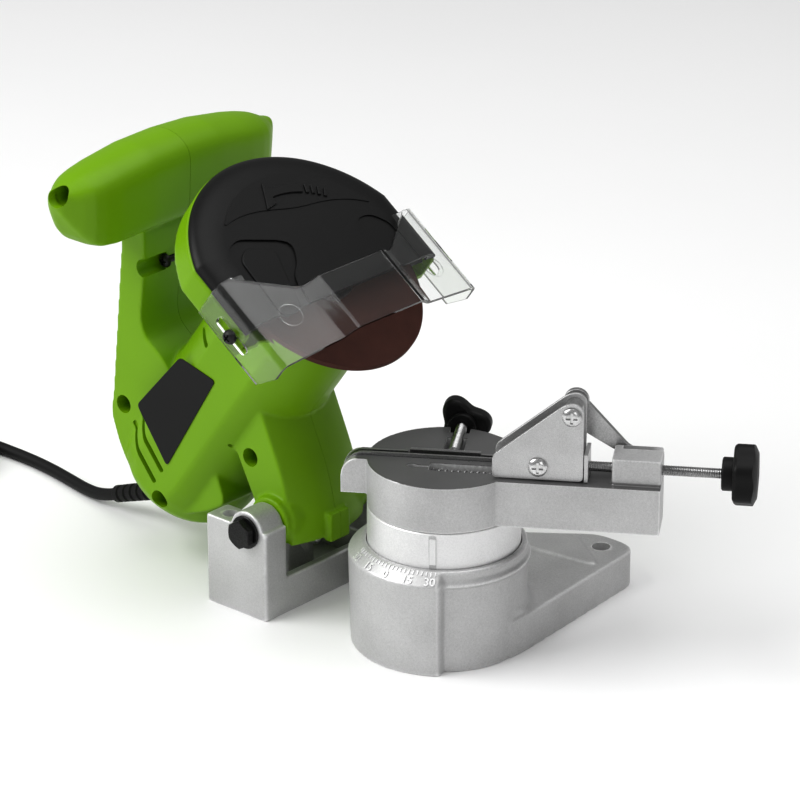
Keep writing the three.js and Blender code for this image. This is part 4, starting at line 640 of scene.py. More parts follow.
def lobed(r, dip, lobes, steps=120):
    drawn = []
    for i in range(steps):
        turn = 2 * math.pi * i / steps
        reach = r - dip * (1 - math.cos(lobes * turn)) / 2
        drawn.append((reach * math.cos(turn), reach * math.sin(turn)))
    return drawn


def plastic_finish(name, dark, light, rough, grain_scale=1100.0, depth=0.00012, **fixed):
    finish = Finish(name, **fixed)
    grain = finish.noise(grain_scale)
    cloud = finish.noise(22.0, detail=2.0, rough=0.5)
    share = grain * 0.35 + cloud * 0.65
    return finish.dress(
        Base_Color=finish.blend(share, dark, light), Roughness=rough - 0.05 + grain * 0.1,
        Normal=finish.bump(grain, strength=0.3, depth=depth),
    )


satin_black = plastic_finish("black_plastic", grey(0.004), grey(0.010), 0.44, Specular_IOR_Level=0.22)
stop = STOP @ ALONG_X
screw = threaded("screw", stop_screw_r, -40, -4, 1, stop)
join(screw, turned("tip", [(0, -5), (2.4, -5), (2.4, -1.6), (2.1, -0.8), (1.4, -0.2), (0.6, 0), (0, 0)], stop, 40))
fit(screw, "depth_screw_rod", machined, "machined_steel", "depth_turner", "depth_screw")
knob = slab("knob", lobed(stop_knob_r, 1, 8), -stop_knob_back - stop_knob_thick, -stop_knob_back, stop, 1.6)
cut(knob, bar("bore", stop_bore, -40.3, 0, stop))
fit(knob, "depth_knob_grip", satin_black, "black_plastic", "depth_turner", "depth_knob", crisp=50)
ring = washer("washer", stop_bore, 7, -35.7, -34.2, stop)
fit(ring, "depth_lock_washer", machined, "machined_steel", "depth_stop", "depth_washer")


# Motor head: two moulded green halves, parted on the middle plane. The guard's dish, the motor's
# barrel, the column that goes down to the hinge, the stem and the handle are one skin with soft
# edges; the rooms, air slots and screw wells are cut out of it, and then the halves come apart.
SPINDLE = at(-78.5, 0, 164.8) @ spun("Y", 36.17)
# On UPRIGHT an outline is drawn in x and z, and raised along y. On PANEL it is drawn down the disc
# and along the spindle, and raised along y.
UPRIGHT = Matrix(((1, 0, 0, 0), (0, 0, 1, 0), (0, 1, 0, 0), (0, 0, 0, 1)))
PANEL = SPINDLE @ UPRIGHT
guard_r, guard_flat, flat_side, column_half = 72, 67, 33, 26


def dish_outline(r, flat, chord):
    half = math.acos(flat / r)
    turns = [half + (math.pi - 2 * half) * i / 80 for i in range(81)]
    return [(-r * math.sin(turn), r * math.cos(turn)) for turn in turns] + [(chord, -flat), (chord, flat)]


def round_barrel(name, flat, outline):
    turns = [2 * math.pi * k / 128 for k in range(128)]
    rows = [[(x * math.cos(turn), min(max(x * math.sin(turn), -flat), flat), z) for turn in turns] for x, z in outline]
    return loft(name, rows, SPINDLE)


# crowned draws a body between two outlines, whose front bulges in its middle
def crowned(name, front, back, half, crown):
    rows = []
    for i in range(25):
        share = i / 12 - 1
        bulge = crown * (1 - share * share)
        rows.append([(x + bulge, share * half, z) for x, z in front] + [(x, share * half, z) for x, z in back])
    return loft(name, rows)


bar_middle = (-183.5, 201.8)
bar_outline = soft([
    (-197.5, 174.5), (-170.2, 174.5), (-166, 178.5), (-164, 208.8), (-169.5, 215), (-178.8, 218.5), (-191.3, 217.2),
    (-200.7, 209.7), (-203, 189.9),
], 7)


# The handle's loops from its middle to its end: place across, size, and how far the loop drops
def handle(name, wall):
    outline = inset(bar_outline, wall) if wall else bar_outline
    long = [
        (0, 1, 0), (23.5, 1, 0.9), (46, 0.95, 3.3), (55, 0.89, 4.2), (61, 0.8, 4.4), (65.5, 0.65, 4), (70, 0.45, 3.1),
        (73.5, 0.3, 1.5), (76, 0.15, 0),
    ]
    ends = [(-y, size, drop) for y, size, drop in reversed(long)] + long[1:]
    middle_x, middle_z = bar_middle
    rows = [[
        (middle_x + (x - middle_x) * size, y * (1 - wall / 50), middle_z + (z - middle_z) * size - drop)
        for x, z in outline
    ] for y, size, drop in ends]
    return loft(name, rows)


column_front = soft([(-75.5, 33.2), (-74.5, 38.8), (-81, 66.1), (-99, 107), (-105, 121.9)], 10, 6, closed=False)
column_back = soft([(-128.5, 103.9), (-115.5, 79.7), (-98.5, 46.9), (-93.7, 34.5)], 10, 6, closed=False)
stem_shares = [
    (0.342, 1), (0.335, 0.859), (0.291, 0.663), (0.323, 0.609), (0.468, 0.556), (0.684, 0.421), (0.899, 0.232),
    (1, 0.098), (0.823, 0.044), (0.6, 0), (0.449, 0.001), (0.335, 0.024), (0.144, 0.111), (0.063, 0.192),
    (0, 0.293), (0.025, 0.345), (0.097, 0.708), (0.139, 0.916), (0.139, 1),
]
stem_foot, stem_wide, stem_tall = (-199, 27.5), 79, 148.5
stem_outline = soft([(u * stem_wide + stem_foot[0], v * stem_tall + stem_foot[1]) for u, v in stem_shares], 5)
visor_screw = at(9, 0, -2.2, SPINDLE) @ ALONG_Y
dome = [(36, -8), (36, -139), (35.4, -148), (34, -155.5), (31, -160), (25, -163.2), (16, -165.2), (8, -166), (0, -166)]
parts = [
    slab("dish", dish_outline(guard_r, guard_flat, 15), -12, 3.4, SPINDLE),
    round_barrel("barrel", flat_side, dome[::-1]),
    bar("foot", 13.3, -26, 26, pin), bar("boss", 12.4, -30.8, 30.8, pin),
    block("tab", -71.9, -66.7, -7, 7, 31, 46), block("tab_root", -80, -68, -7, 7, 40, 46),
    crowned("column", column_front, column_back, column_half, 6),
    slab("stem", stem_outline, -column_half, column_half, BENCH @ UPRIGHT), handle("handle", 0),
    bar("screw_boss", 5.5, -67, -51, visor_screw), bar("screw_boss", 5.5, 51, 67, visor_screw),
]
shell = cast("shell", parts, voxel=0.9, rounds=7, keep=0.45)
shell_screws = {
    "column": (-102.6, 72.9), "belly": (-159.5, 35.8), "back": (-189.4, 77), "stem": (-172.9, 153.7),
    "bar": (-181.6, 201.8),
}
well_r, shell_wall = 4.8, 2.6
room_front = [(x - shell_wall, z) for x, z in column_front[4:]]
room_back = [(x + shell_wall, z) for x, z in column_back[:-6]]
motor_room = [(0, -141), (25, -140), (28.5, -133), (30, -120), (30, -23), (0, -23)]
rooms = [
    slab("dish_room", dish_outline(69, 64, 30), -8, 14, SPINDLE), round_barrel("motor_room", 30.4, motor_room),
    slab("stem_room", inset(stem_outline, shell_wall), -23.4, 23.4, BENCH @ UPRIGHT), handle("handle_room", 3),
    crowned("column_room", room_front, room_back, 23.4, 6),
    bar("shaft_hole", 4.6, -130, 20, SPINDLE),
]
posts = [bar("post", 7, -70, 70, at(x, 0, z) @ ALONG_Y) for x, z in shell_screws.values()]
posts += [
    bar("pin_post", 8, -40, 40, pin), block("front_wall", -72, 15, -67, 67, -23, -10, SPINDLE),
    block("rear_wall", -36, 36, -36, 36, -128, -119, SPINDLE), block("foot_wall", -90, -60, -30, 30, 20, 56),
]
void = rooms[1]
join(void, rooms[2], rooms[3], rooms[4])
cut(void, *posts)
vents = []
air_slots = ((-12, -133, 33, 15), (-12, -142, 33, 15), (-22, -57, 15, 0))  # place, length, degrees of lean
for side in (-1, 1):
    for across, back, long, lean in air_slots:
        slot = soft([(-long / 2, -1.5), (long / 2, -1.5), (long / 2, 1.5), (-long / 2, 1.5)], 1.4)
        place = at(across, side * 31, back, SPINDLE) @ spun("Y", lean) @ UPRIGHT
        vents.append(slab("vent", slot, -6, 6, place))
wells = [bar("well", well_r, -90, -10, at(x, 0, z) @ ALONG_Y) for x, z in shell_screws.values()]
wells += [bar("screw_hole", 2.1, -20, 10, at(x, 0, z) @ ALONG_Y, sides=32) for x, z in shell_screws.values()]
RELIEF = at(-160.4, 0, 31.8) @ spun("Y", 70)
rim = smooth_route([(-101.3, -27.2, 114.6), (-115.6, -27.2, 86.4), (-117.4, -27.2, 79.5), (-112.8, -27.2, 74.9)], 8)
cut(
    shell, void, rooms[0], rooms[5], *vents, *wells, tube("rim", rim, 1.1, 12),
    bar("pin_hole", pin_hole_r, -60, 60, pin),
    bar("bearing_room", 11.3, -25, -15.4, SPINDLE), bar("bearing_room", 9.8, -125.3, -117, SPINDLE),
    bar("relief_hole", 5.6, -70, -2, RELIEF), bar("relief_room", 8.4, -3.5, 0.5, RELIEF),
    bar("visor_hole", 2.3, -90, -53, visor_screw, sides=32), bar("visor_hole", 2.3, 53, 90, visor_screw, sides=32),
    block("trigger_hole", -220, -192, -14.4, 14.4, 182.2, 194.8, round_to=1),
)
rear = shell.copy()
rear.data = shell.data.copy()
bpy.context.collection.objects.link(rear)
parting = 0.1
cut(shell, block("rear_side", -400, 200, -parting, 300, -100, 400))
cut(rear, block("front_side", -400, 200, -300, parting, -100, 400))


def green_finish():
    finish = Finish("green_shell", Specular_IOR_Level=0.28)
    grain = finish.noise(1300.0)
    cloud = finish.noise(16.0, detail=2.0, rough=0.5)
    share = cloud * 0.7 + grain * 0.3
    colour = finish.blend(share, (0.150, 0.310, 0.001, 1), (0.200, 0.400, 0.002, 1))
    return finish.dress(
        Base_Color=colour, Roughness=0.36 + grain * 0.1, Normal=finish.bump(grain, strength=0.25, depth=0.0001),
    )


green = green_finish()
fit(shell, "housing_shell_front", green, "green_shell", "head", "housing_front", crisp=48)
fit(rear, "housing_shell_rear", green, "green_shell", "head", "housing_rear", crisp=48)


# The housing's own screws, at the bottom of their wells, and the visor's two clamping screws: round
# heads of blackened steel, driven by a cross
def pan_screw(name, shank, head_r, thick, length, seat, place, cross=0.0):
    crown = [
        (0, seat - thick), (head_r * 0.5, seat - thick * 0.98), (head_r * 0.8, seat - thick * 0.78),
        (head_r, seat - thick * 0.35), (head_r, seat),
    ]
    body = turned(name, crown + [(shank, seat), (shank, seat + length - 1), (0, seat + length)], place, 48)
    reach, wide = head_r * 0.6, cross or head_r * 0.13
    low, high = seat - thick - 1, seat - thick * 0.45
    return cut(
        body, block("cross", -reach, reach, -wide, wide, low, high, place),
        block("cross", -wide, wide, -reach, reach, low, high, place),
    )


for key, (x, z) in shell_screws.items():
    place = at(x, 0, z) @ ALONG_Y
    screw = pan_screw("screw", shank=1.8, head_r=3.6, thick=2.4, length=19, seat=-10.3, place=place)
    fit(screw, f"housing_screw_{key}", blackened, "dark_steel", "head", f"shell_screw_{key}", crisp=40)


# Rating plate: a thin bare black plate with rounded corners, glued on the housing's flat side. It
# is smoother than the moulded plastics.
plate_outline = soft([(-23.2, -75.7), (-0.5, -66.9), (4.2, -131.5), (-28.1, -120.8)], 2.5)
plate = slab("plate", plate_outline, -33.55, -33.05, PANEL, 0.15, 2)
plate_finish = plastic_finish("plate_film", grey(0.004), grey(0.009), 0.36, 300.0, 0.00004, Specular_IOR_Level=0.2)
fit(plate, "rating_plate_film", plate_finish, "black_plastic", "head", "rating_plate")


# Cover: the black moulded lid over the disc's upper half, with a rounded rim, a raised arrow and
# sunk pockets. It is hollowed from below in two steps, so that its wall stays thin.
cover_r, cover_flat, cover_chord = 71.5, 66.6, 14


def cover_rows(heights):
    rows = []
    for across, z in heights:
        rows.append([(x, y, z) for x, y in dish_outline(cover_r - across, cover_flat - across, cover_chord)])
    return rows


rim_round = [(0, 3.7), (0.1, 4.8), (0.9, 6.2), (2.4, 7.6), (4.6, 8.8), (7.6, 9.7), (11.5, 10.2), (16, 10.4)]
lid = loft("lid", cover_rows(rim_round), SPINDLE)


def arc(r0, r1, start, end, steps=24):
    turns = [math.radians(start + (end - start) * i / steps) for i in range(steps + 1)]
    outer = [(r1 * math.cos(turn), r1 * math.sin(turn)) for turn in turns]
    return outer + [(r0 * math.cos(turn), r0 * math.sin(turn)) for turn in reversed(turns)]


def raised(name, outline):
    return slab(name, outline, 10.5, 11.7, SPINDLE, 0.3)


# The turning arrow stands on a raised crescent, a band that thins towards both its ends
crescent_r, crescent_wide, crescent_steps, arrow_in, arrow_out = 56, 19, 48, 44.5, 49.5
dash_starts, dash_long = (153.5, 149.3, 145.1, 140.9), 2.2  # degrees
crescent = arc(crescent_r - 2, crescent_r, 116, 224, crescent_steps)[:crescent_steps + 1]
thinned = []
for i, (x, y) in enumerate(crescent):
    reach = crescent_r - 1 - crescent_wide * math.sin(math.pi * i / crescent_steps)
    thinned.append((x * reach / crescent_r, y * reach / crescent_r))
arrow = [slab("crescent", crescent + thinned[::-1], 9, 10.8, SPINDLE)]
arrow.append(raised("shaft", arc(arrow_in, arrow_out, 158, 183)))
arrow += [raised("dash", arc(arrow_in, arrow_out, start, start + dash_long, 4)) for start in dash_starts]
arrow.append(raised("head", [(-53.1, -2.3), (-49, -1.6), (-40.6, -2.6), (-39.2, -10.2)]))
join(lid, *arrow)
near_pocket = [(16, -52), (-26, -50), (-31, -39), (-22.2, -15.1), (-17.6, -10.6), (-8, -16), (-2, -24), (16, -28)]
far_pocket = [(16, 33), (-12, 30.5), (-18.5, 36), (-18, 45), (-10, 52), (16, 52)]
pockets = [
    slab("pocket", soft(near_pocket, 5), 9.4, 14, SPINDLE), slab("pocket", soft(far_pocket, 4), 9.7, 14, SPINDLE),
]
hollow = slab("hollow", dish_outline(69.1, 64.2, 16), 1, 4.6, SPINDLE)
join(hollow, slab("hollow", dish_outline(63, 59, 16), 1, 8.2, SPINDLE))
cut(lid, hollow, *pockets)
rib = slab("rib", soft([(16, -47), (-20, -45), (-25, -38), (-19, -22), (16, -34)], 4), 8.6, 10.4, SPINDLE, 0.6)
join(lid, rib)


def ease_edges(piece, width, angle):
    edges = piece.modifiers.new("edges", "BEVEL")
    edges.width, edges.segments, edges.limit_method, edges.angle_limit = width, 2, "ANGLE", math.radians(angle)


ease_edges(lid, 0.0003, 50)
cover_finish = plastic_finish("cover_black", grey(0.004), grey(0.010), 0.40, 1400.0, 0.00012, Specular_IOR_Level=0.25)
fit(lid, "disc_cover_lid", cover_finish, "black_plastic", "head", "disc_cover")


# Visor: one clear sheet, folded along four creases, over the disc's front edge. Two slotted wings
# clamp it to the guard's sides. It is warm-formed, so the wing bends are rounder than the creases.
sheet_thick, wing_out, wing_root = 2, 69.3, 31
outer = [(-wing_out, -9.5)]
outer += soft([(-wing_out, -9.5), (-wing_out, 12.5), (-wing_root, 17.6)], 5, 8, closed=False)[1:-1]
outer += soft([(-45, 15.7), (-wing_root, 17.6), (-23, 22.5), (0, 22.5)], 1.0, 3, closed=False)[1:-1]
outer += [(-y, n) for y, n in reversed(outer)]
normals = []
for i, (y, n) in enumerate(outer):
    (a, b), (c, d) = outer[max(i - 1, 0)], outer[min(i + 1, len(outer) - 1)]
    length = math.hypot(c - a, d - b)
    normals.append(((d - b) / length, -(c - a) / length))
inner = [(y + sheet_thick * u, n + sheet_thick * v) for (y, n), (u, v) in zip(outer, normals)]
section = outer + inner[::-1]
visor = loft("visor", [[(m, y, n) for y, n in section] for m in (-12, 40)], SPINDLE)
notch = soft([(-20, -63), (-12, -62), (7.6, -32), (7.6, 32), (-12, 62), (-20, 63)], 4)
corner = [(42, -12), (42, 6), (32, -12)]
slot = soft([(-2, -4.7), (20, -4.7), (20, 0.3), (-2, 0.3)], 2.4)
cut(
    visor, slab("notch", notch, 12.6, 40, SPINDLE), slab("corner", corner, -90, 90, PANEL),
    slab("slot", slot, -90, -50, PANEL), slab("slot", slot, 50, 90, PANEL),
)
ease_edges(visor, 0.00035, 55)


def clear_finish():
    finish = Finish("clear_visor", Base_Color=(0.97, 0.98, 0.97, 1), IOR=1.47, Transmission_Weight=1.0, Metallic=0.0)
    smear = finish.noise(60.0)
    scratch = finish.noise(900.0, detail=2.0, rough=0.5)
    return finish.dress(Roughness=0.01 + smear * 0.05, Normal=finish.bump(scratch, strength=0.05, depth=0.00002))


clear = clear_finish()
fit(visor, "visor_sheet", clear, "clear_visor", "visor_sheet", "visor", crisp=25)
wing_fall, wing_low, wing_rise = 0.1325, 12.5, 5.1  # radians, mm
for name, m, y, lean in (("left", 18.1, -47, 1), ("right", 22.6, 50.5, -1)):
    level = wing_low + (wing_out - abs(y)) / (wing_out - wing_root) * wing_rise
    place = at(m, y, level, SPINDLE) @ Matrix.Rotation(lean * wing_fall, 4, "X")
    ring = turned("ring", [(5.9, -0.1), (6.3, -0.1), (6.3, 0.12), (5.9, 0.12)], place, 64, bored=True)
    fit(ring, f"visor_moulding_ring_{name}", clear, "clear_visor", "visor_sheet")
for side, key in ((-1, "left"), (1, "right")):
    place = visor_screw @ Matrix.Rotation(math.pi if side > 0 else 0, 4, "X")
    screw = pan_screw("screw", shank=2, head_r=3.6, thick=3.2, length=15, seat=-69.6, place=place)
    fit(screw, f"visor_clamp_screw_{key}", blackened, "dark_steel", "head", f"visor_screw_{key}", crisp=40)


# Trigger on the handle's back, a black moulding that bulges outwards and presses on the switch. It
# slides 3 mm into the housing, through a hole with a little room all round.
trigger_outline = soft([(-206.4, 182.5), (-200, 182.5), (-200, 194.5), (-206.4, 194.5), (-207.5, 188.5)], 1.2)
trigger = slab("trigger", trigger_outline, -14, 14, BENCH @ UPRIGHT, 0.8)
fit(trigger, "trigger_key", satin_black, "black_plastic", "trigger", "switch_trigger")


# Strain relief: a ribbed rubber sleeve round the cord where it leaves the housing. It is moulded
# with a collar that the two halves hold, and grows a little thinner towards its open end.
sleeve_end, sleeve_ribs, rib_pitch = -66, 12, 5.25
sleeve = [(0, sleeve_end), (3.9, sleeve_end), (4.4, sleeve_end + 0.4)]
for i in range(sleeve_ribs):
    r, z = 4.5 + 0.7 * i / (sleeve_ribs - 1), sleeve_end + rib_pitch * i
    sleeve += [(r, z + 0.6), (r, z + 3.6), (r - 0.7, z + 4.1), (r - 0.7, z + 4.9)]
sleeve += [(5.2, -3), (8, -3), (8, 0), (0, 0)]
fit(turned("sleeve", sleeve, RELIEF, 48), "cord_sleeve", rubber, "cord_rubber", "head", "strain_relief", crisp=35)


# Grinding disc: maroon resin-bonded grit, 108 mm across and 3.2 mm thick, with a 23 mm bore. It
# sits between two steel flanges and its rim is dressed square.
disc_r, disc_bore, disc_half, disc_edge = 54, 11.5, 1.6, 0.3
disc_outline = [
    (disc_bore, -disc_half), (disc_r - disc_edge, -disc_half), (disc_r, -disc_half + disc_edge),
    (disc_r, disc_half - disc_edge), (disc_r - disc_edge, disc_half), (disc_bore, disc_half),
]
disc = turned("disc", disc_outline, SPINDLE, 160, bored=True)


def grit_finish():
    finish = Finish("grinding_grit", Specular_IOR_Level=0.3)
    grit = finish.noise(1700.0, detail=4.0, rough=0.8)
    patch = finish.noise(90.0)
    colour = finish.blend(grit * 0.6 + patch * 0.4, (0.030, 0.010, 0.007, 1), (0.115, 0.042, 0.030, 1))
    return finish.dress(
        Base_Color=colour, Roughness=0.68 + grit * 0.2, Normal=finish.bump(grit, strength=0.7, depth=0.0003),
    )


fit(disc, "grinding_wheel", grit_finish(), "grinding_grit", "rotor", "grinding_disc")


# What the motor turns and what carries it keep the shapes of the CAD solids, with edges eased and
# a finish of their own: steel flanges, shaft and bearings, copper windings, and a black fan.
def dress_node(name, finish, width=0.0002):
    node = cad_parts[name]
    node.data.shade_smooth()
    node.data.set_sharp_from_angle(angle=math.radians(32))
    ease_edges(node, width, 40)
    node.data.materials.clear()
    node.data.materials.append(finish)


copper = metal_finish(
    "winding_copper", (0.20, 0.055, 0.016, 1), (0.62, 0.22, 0.08, 1), grain_scale=700.0, rough=0.34, depth=0.0003,
)
for name in ("rotor_shaft", "inner_flange", "outer_flange", "arbor_nut", "bearing_front", "bearing_rear"):
    dress_node(name, machined)
for name in ("armature", "stator", "brush_left", "brush_right"):
    dress_node(name, copper)
for name in ("cooling_fan", "switch_body"):
    dress_node(name, satin_black)


# Vise foot: a round aluminium casting, hollowed from below, that stands in the tower's bore and
# turns there, with a raised index rib that points at the scale. The stud goes through its middle.
VISE = BENCH @ spun("Z", 33)
table_r = 37
foot = turned("foot", [
    (stud_hole_r, 25.3), (11, 25.3), (11, 61.9), (31, 61.9), (31, 25.3), (36.6, 25.3), (table_r, 25.7), (table_r, 70.1),
    (36.5, 70.6), (stud_hole_r, 70.6),
], VISE, 160, bored=True)
rib = block("rib", 34, 37.5, -1.5, 1.5, 54.5, 68.1, VISE @ spun("Z", -90.8), 0.5)
fit(join(foot, rib), "turntable_foot", blasted, "cast_aluminium", "vise", "turntable_ring", crisp=35)


# Vise casting: the round table with its arm, the rounded nub opposite and the block at the arm's
# end, cast in one; the chain's slot, the jaw's seat, the spring's groove and the clamp screw's
# channel are milled into it.
clamp = at(3, 0, 92.5, VISE) @ ALONG_Y
feed = at(0, -12, 99.3, VISE) @ ALONG_X
table_top, table_foot, nub_r, arm_end, arm_side = 94.1, 70.9, 9, 104.8, -24.5
chain_half, groove_y, groove_floor, slot_floor, channel_floor = 2.5, -11.5, 84.5, 84.7, 85.2
nub = [(-49, 76), (-49, 85.1)]
for i in range(1, 9):
    turn = math.pi / 16 * i
    nub.append((-40 - nub_r * math.cos(turn), 85.1 + nub_r * math.sin(turn)))
nub += [(-18, table_top), (-18, 76)]
vise = cast("vise", [
    turned("table", [(0, table_foot), (table_r, table_foot), (table_r, table_top), (0, table_top)], VISE, 160),
    block("arm", 0, arm_end, arm_side, -chain_half, table_foot, table_top, VISE),
    slab("nub", nub, -7, 7, VISE @ UPRIGHT),
    block("block", 81.5, arm_end, -21, -chain_half, 90, 107, VISE, 0, 1.5),
    block("clamp_wall", -7, 13, 24, 30, 83, table_top, VISE),
], voxel=0.5, rounds=3, keep=0.4)
sky = 130  # the milled spaces are open at the top
cut(
    vise, block("groove", -6, 40, -16, -7, groove_floor, sky, VISE, 0, 1.5),
    bar("drop", 2.6, groove_floor, sky, at(-14, groove_y, 0, VISE), sides=48),
    block("drop", -14, -4, -12.8, -10.2, groove_floor, sky, VISE),
    block("jaw_room", -17.2, 17.2, -chain_half, 5.7, slot_floor, sky, VISE),
    block("slot", -98, 86.3, -chain_half, chain_half, slot_floor, sky, VISE),
    bar("feed_hole", 2.8, 37, 200, feed, sides=48),
    cut(block("channel", -2, 8, 0, 74, channel_floor, sky, VISE), block("wall", -8, 14, 24, 30, 0, 200, VISE)),
    block("block_groove", 85.5, 108, -7, -3, 105, sky, VISE),
    block("arm_room", 43, 98.8, -20.5, -6.5, 0, 82.5, VISE, 0, 2), bar("clamp_hole", 3.1, 0, 74, clamp, sides=48),
    bar("head_room", 8.3, 0, 75.5, VISE),
)
fit(vise, "vise_table_casting", blasted, "cast_aluminium", "vise", "vise_casting", crisp=40)
dress_node("swivel_stud", machined)


# Lock knob below the tower, on the stud's thread: a black moulded star knob with a blind bore, which
# draws the vise down on the tower when it is turned
knob = cut(slab("knob", lobed(17, 2.4, 5), 4.7, 16.7, VISE, 1.8), bar("bore", stud_hole_r, 10.4, 40, VISE))
fit(knob, "lock_knob_grip", satin_black, "black_plastic", "swivel_lock", "lock_knob", crisp=50)


# Rails and jaw: ground steel strips on edge, which guide the chain's links. The short one in the
# middle of the back row is the jaw, and the clamp screw presses it on the chain.
plain = metal_finish("ground_strip", grey(0.34), grey(0.56), grain_scale=1400.0, rough=0.28, depth=0.00008)
for name in ("rail_front", "rail_back_left", "rail_back_right", "clamp_jaw"):
    dress_node(name, plain, 0.00025)


# Spring in the groove: fourteen curls of bright wire, which push the carriage towards its screw. The
# wire is 1 mm thick and the curls lie free in the milled groove.
bright = metal_finish("bright_screw", grey(0.5), grey(0.80), grain_scale=600.0, rough=0.2, depth=0.00008)
spring_start, spring_long, spring_r, spring_z, curls, curl_steps = -4, 42.6, 3.3, 89.1, 14, 24
curl_spots = []
for i in range(curls * curl_steps + 1):
    turn = 2 * math.pi * i / curl_steps
    along = spring_start + spring_long * i / (curls * curl_steps)
    curl_spots.append(Vector((along, groove_y + spring_r * math.sin(turn), spring_z + spring_r * math.cos(turn))))
spring = tube("spring", curl_spots, 0.5, 10, VISE)
fit(spring, "carriage_spring", bright, "machined_steel", "vise", "vise_spring", crisp=60)


# Clamp screw with a round tip that presses the jaw, and its black three-winged knob, moulded round
# the screw's end behind the table
rod = threaded("rod", 2.8, 9, 47.1, 1, clamp, 0.3)
join(rod, turned("tip", [(0, 5.7), (1.2, 5.8), (2, 6.2), (2.5, 7.2), (2.8, 8.6), (2.8, 10), (0, 10)], clamp, 40))
fit(rod, "clamp_rod", machined, "machined_steel", "clamp", "clamp_screw")
wings = join(slab("wings", lobed(14, 5, 3), 42.6, 51.6, clamp, 2.2), bar("hub", 7, 39.6, 46, clamp, 0.8))
cut(wings, bar("bore", 3.1, 0, 47.4, clamp))
fit(wings, "clamp_wing_knob", satin_black, "black_plastic", "clamp", "clamp_knob", crisp=50)


# Carriage: two stamped aluminium cheeks on spacers, held by two cross-headed screws, with the end
# plate that the feed screw pushes and the pawl that catches a chain link, here turned back
cheek_shares = [(0, 0), (1, 0), (1, 0.9), (0.97, 0.96), (0.9, 1), (0.82, 0.985), (0.76, 0.955), (0, 0.28)]
cheek_foot, cheek_long, cheek_tall, axle_x, axle_z = (25.2, 94.6), 43, 39.4, 62.6, 127.4
cheek_spots = [(cheek_foot[0] + u * cheek_long, cheek_foot[1] + v * cheek_tall) for u, v in cheek_shares]
cheek_outline = soft(cheek_spots, 2.5)
SIDE = VISE @ UPRIGHT
axle = at(axle_x, 0, axle_z, VISE) @ ALONG_Y
tie = at(46.9, 0, 101.2, VISE) @ ALONG_Y
cheek_thick, eye_r = 1.8, 2.8
sheet = metal_finish("cheek_sheet", grey(0.44), grey(0.66), grain_scale=2400.0, rough=0.34, depth=0.00008, metal=0.7)
for key, y in (("front", -21), ("back", -7.4)):
    cheek = slab("cheek", cheek_outline, y, y + cheek_thick, SIDE, 0.3)
    cut(cheek, bar("hole", eye_r, -30, 10, axle, sides=48), bar("hole", eye_r, -30, 10, tie, sides=48))
    fit(cheek, f"carriage_{key}_cheek", sheet, "cast_aluminium", "carriage", f"carriage_cheek_{key}")
for name in ("carriage_spacer_upper", "carriage_spacer_lower"):
    dress_node(name, machined)
dress_node("feed_plate", sheet, 0.0004)
for key, place, long in (("axle", axle, 26), ("tie", tie, 17.4)):
    screw = pan_screw("screw", 2.5, head_r=4.6, thick=2, length=long, seat=-21.3, place=place, cross=0.65)
    fit(screw, f"carriage_{key}_bolt", bright, "machined_steel", "carriage", f"{key}_screw", crisp=40)
nut = hexagon("nut", 8.28, 1.8, 4.7, axle, 0.3, eye_r)
fit(nut, "axle_lock_nut", machined, "machined_steel", "carriage", "axle_nut")
pawl_shares = [(-0.17, 0.02), (0.13, 0.06), (0.76, -0.9), (0.93, -1.02), (0.56, -1), (0.14, -0.66)]
pawl_long, pawl_tall = 33, 23.6
pawl_outline = soft([(axle_x + u * pawl_long, axle_z + v * pawl_tall) for u, v in pawl_shares], 1.5)
finger = slab("finger", pawl_outline, -1.5, 1.5, SIDE, 0.3)
join(finger, bar("eye", 6, -1.5, 1.5, axle, 0.3), bar("collar", 4.6, -5.3, 0, axle, 0.3))
cut(finger, bar("hole", eye_r, -20, 20, axle, sides=48))
fit(finger, "chain_pawl_finger", plain, "machined_steel", "chain_pawl", "pawl")


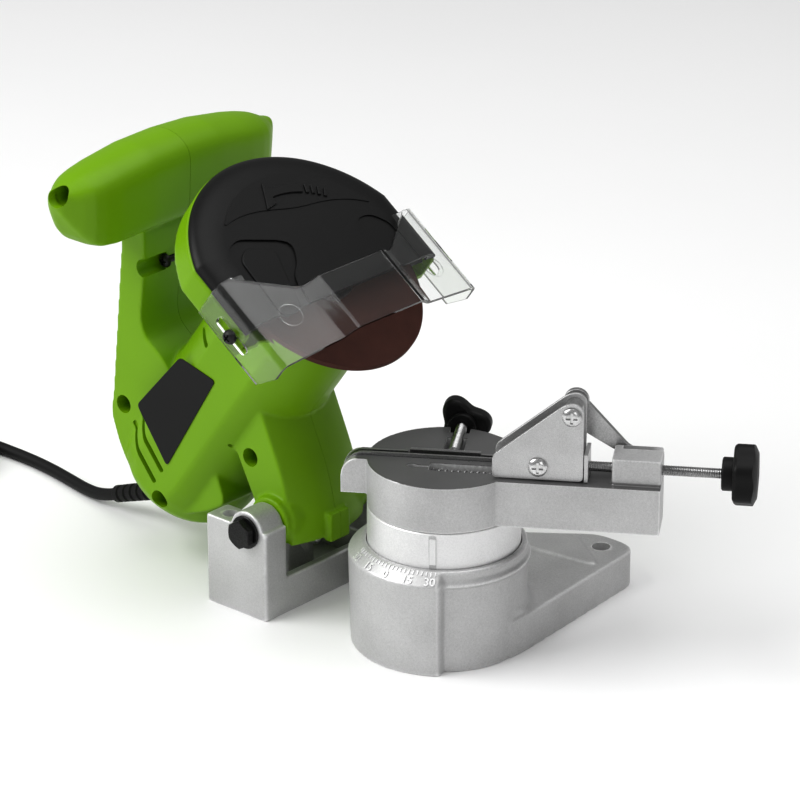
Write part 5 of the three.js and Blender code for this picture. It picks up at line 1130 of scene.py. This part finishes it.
# Feed screw through the end block: threaded steel with a hexagon head on its inner end. Its black
# six-lobed knob has a crowned face and is moulded on the outer end.
screw = threaded("screw", 2.5, 66.5, 144, 0.8, feed, 0.3)
join(screw, hexagon("head", 7.5, 63.3, 68.3, feed, 0.3))
fit(screw, "feed_screw_rod", machined, "machined_steel", "feed", "feed_screw")
grip = slab("grip", lobed(15.3, 1.6, 6), 138, 150, feed, 2.2)
cap = turned("cap", [(0, 130), (20, 130), (20, 146), (15.4, 147.2), (11, 149.4), (0, 150)], feed)
join(common(grip, cap), bar("collar", 8, 132.6, 142, feed, 1))
cut(grip, bar("bore", 2.8, 0, 144.3, feed))
fit(grip, "feed_knob_grip", satin_black, "black_plastic", "feed", "feed_knob", crisp=50)


# Studio: a pale floor and soft white light all round, as in a catalogue photograph. A strong wide
# light stands on the left, a weak one on the right and another wide one above.
floor_half, floor_corners = 4, ((-1, -1), (1, -1), (1, 1), (-1, 1))  # metres
light_aim, world_strength, picture_gamma = Vector((0, 0, 0.1)), 0.34, 0.82
floor_mesh = bpy.data.meshes.new("floor")
floor_mesh.from_pydata([(x * floor_half, y * floor_half, 0) for x, y in floor_corners], [], [(0, 1, 2, 3)])
floor = linked("floor", floor_mesh)
floor_finish = Finish("studio_floor")
floor_colour = floor_finish.blend(floor_finish.noise(3.0), grey(0.92), grey(0.96))
floor_mesh.materials.append(floor_finish.dress(Base_Color=floor_colour, Roughness=0.55))
floor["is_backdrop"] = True
world = bpy.data.worlds.new("studio")
world.use_nodes = True
world.node_tree.nodes["Background"].inputs["Color"].default_value = grey(1.0)
world.node_tree.nodes["Background"].inputs["Strength"].default_value = world_strength
bpy.context.scene.world = world


def softbox(name, spot, wide, tall, power):
    light = bpy.data.lights.new(name, "AREA")
    light.shape, light.size, light.size_y, light.energy = "RECTANGLE", wide, tall, power
    lamp = linked(name, light)
    lamp.location = spot
    lamp.rotation_euler = (light_aim - Vector(spot)).to_track_quat("-Z", "Y").to_euler()


softbox("key", (-0.9, -1.2, 1.4), 1.4, 1.4, 34)
softbox("fill", (1.5, -0.9, 0.7), 0.6, 0.9, 2.5)
softbox("top", (0.2, 0.3, 1.8), 1.6, 1.6, 17)
bpy.context.scene.view_settings.view_transform = "Standard"
bpy.context.scene.view_settings.gamma = picture_gamma

low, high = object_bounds()
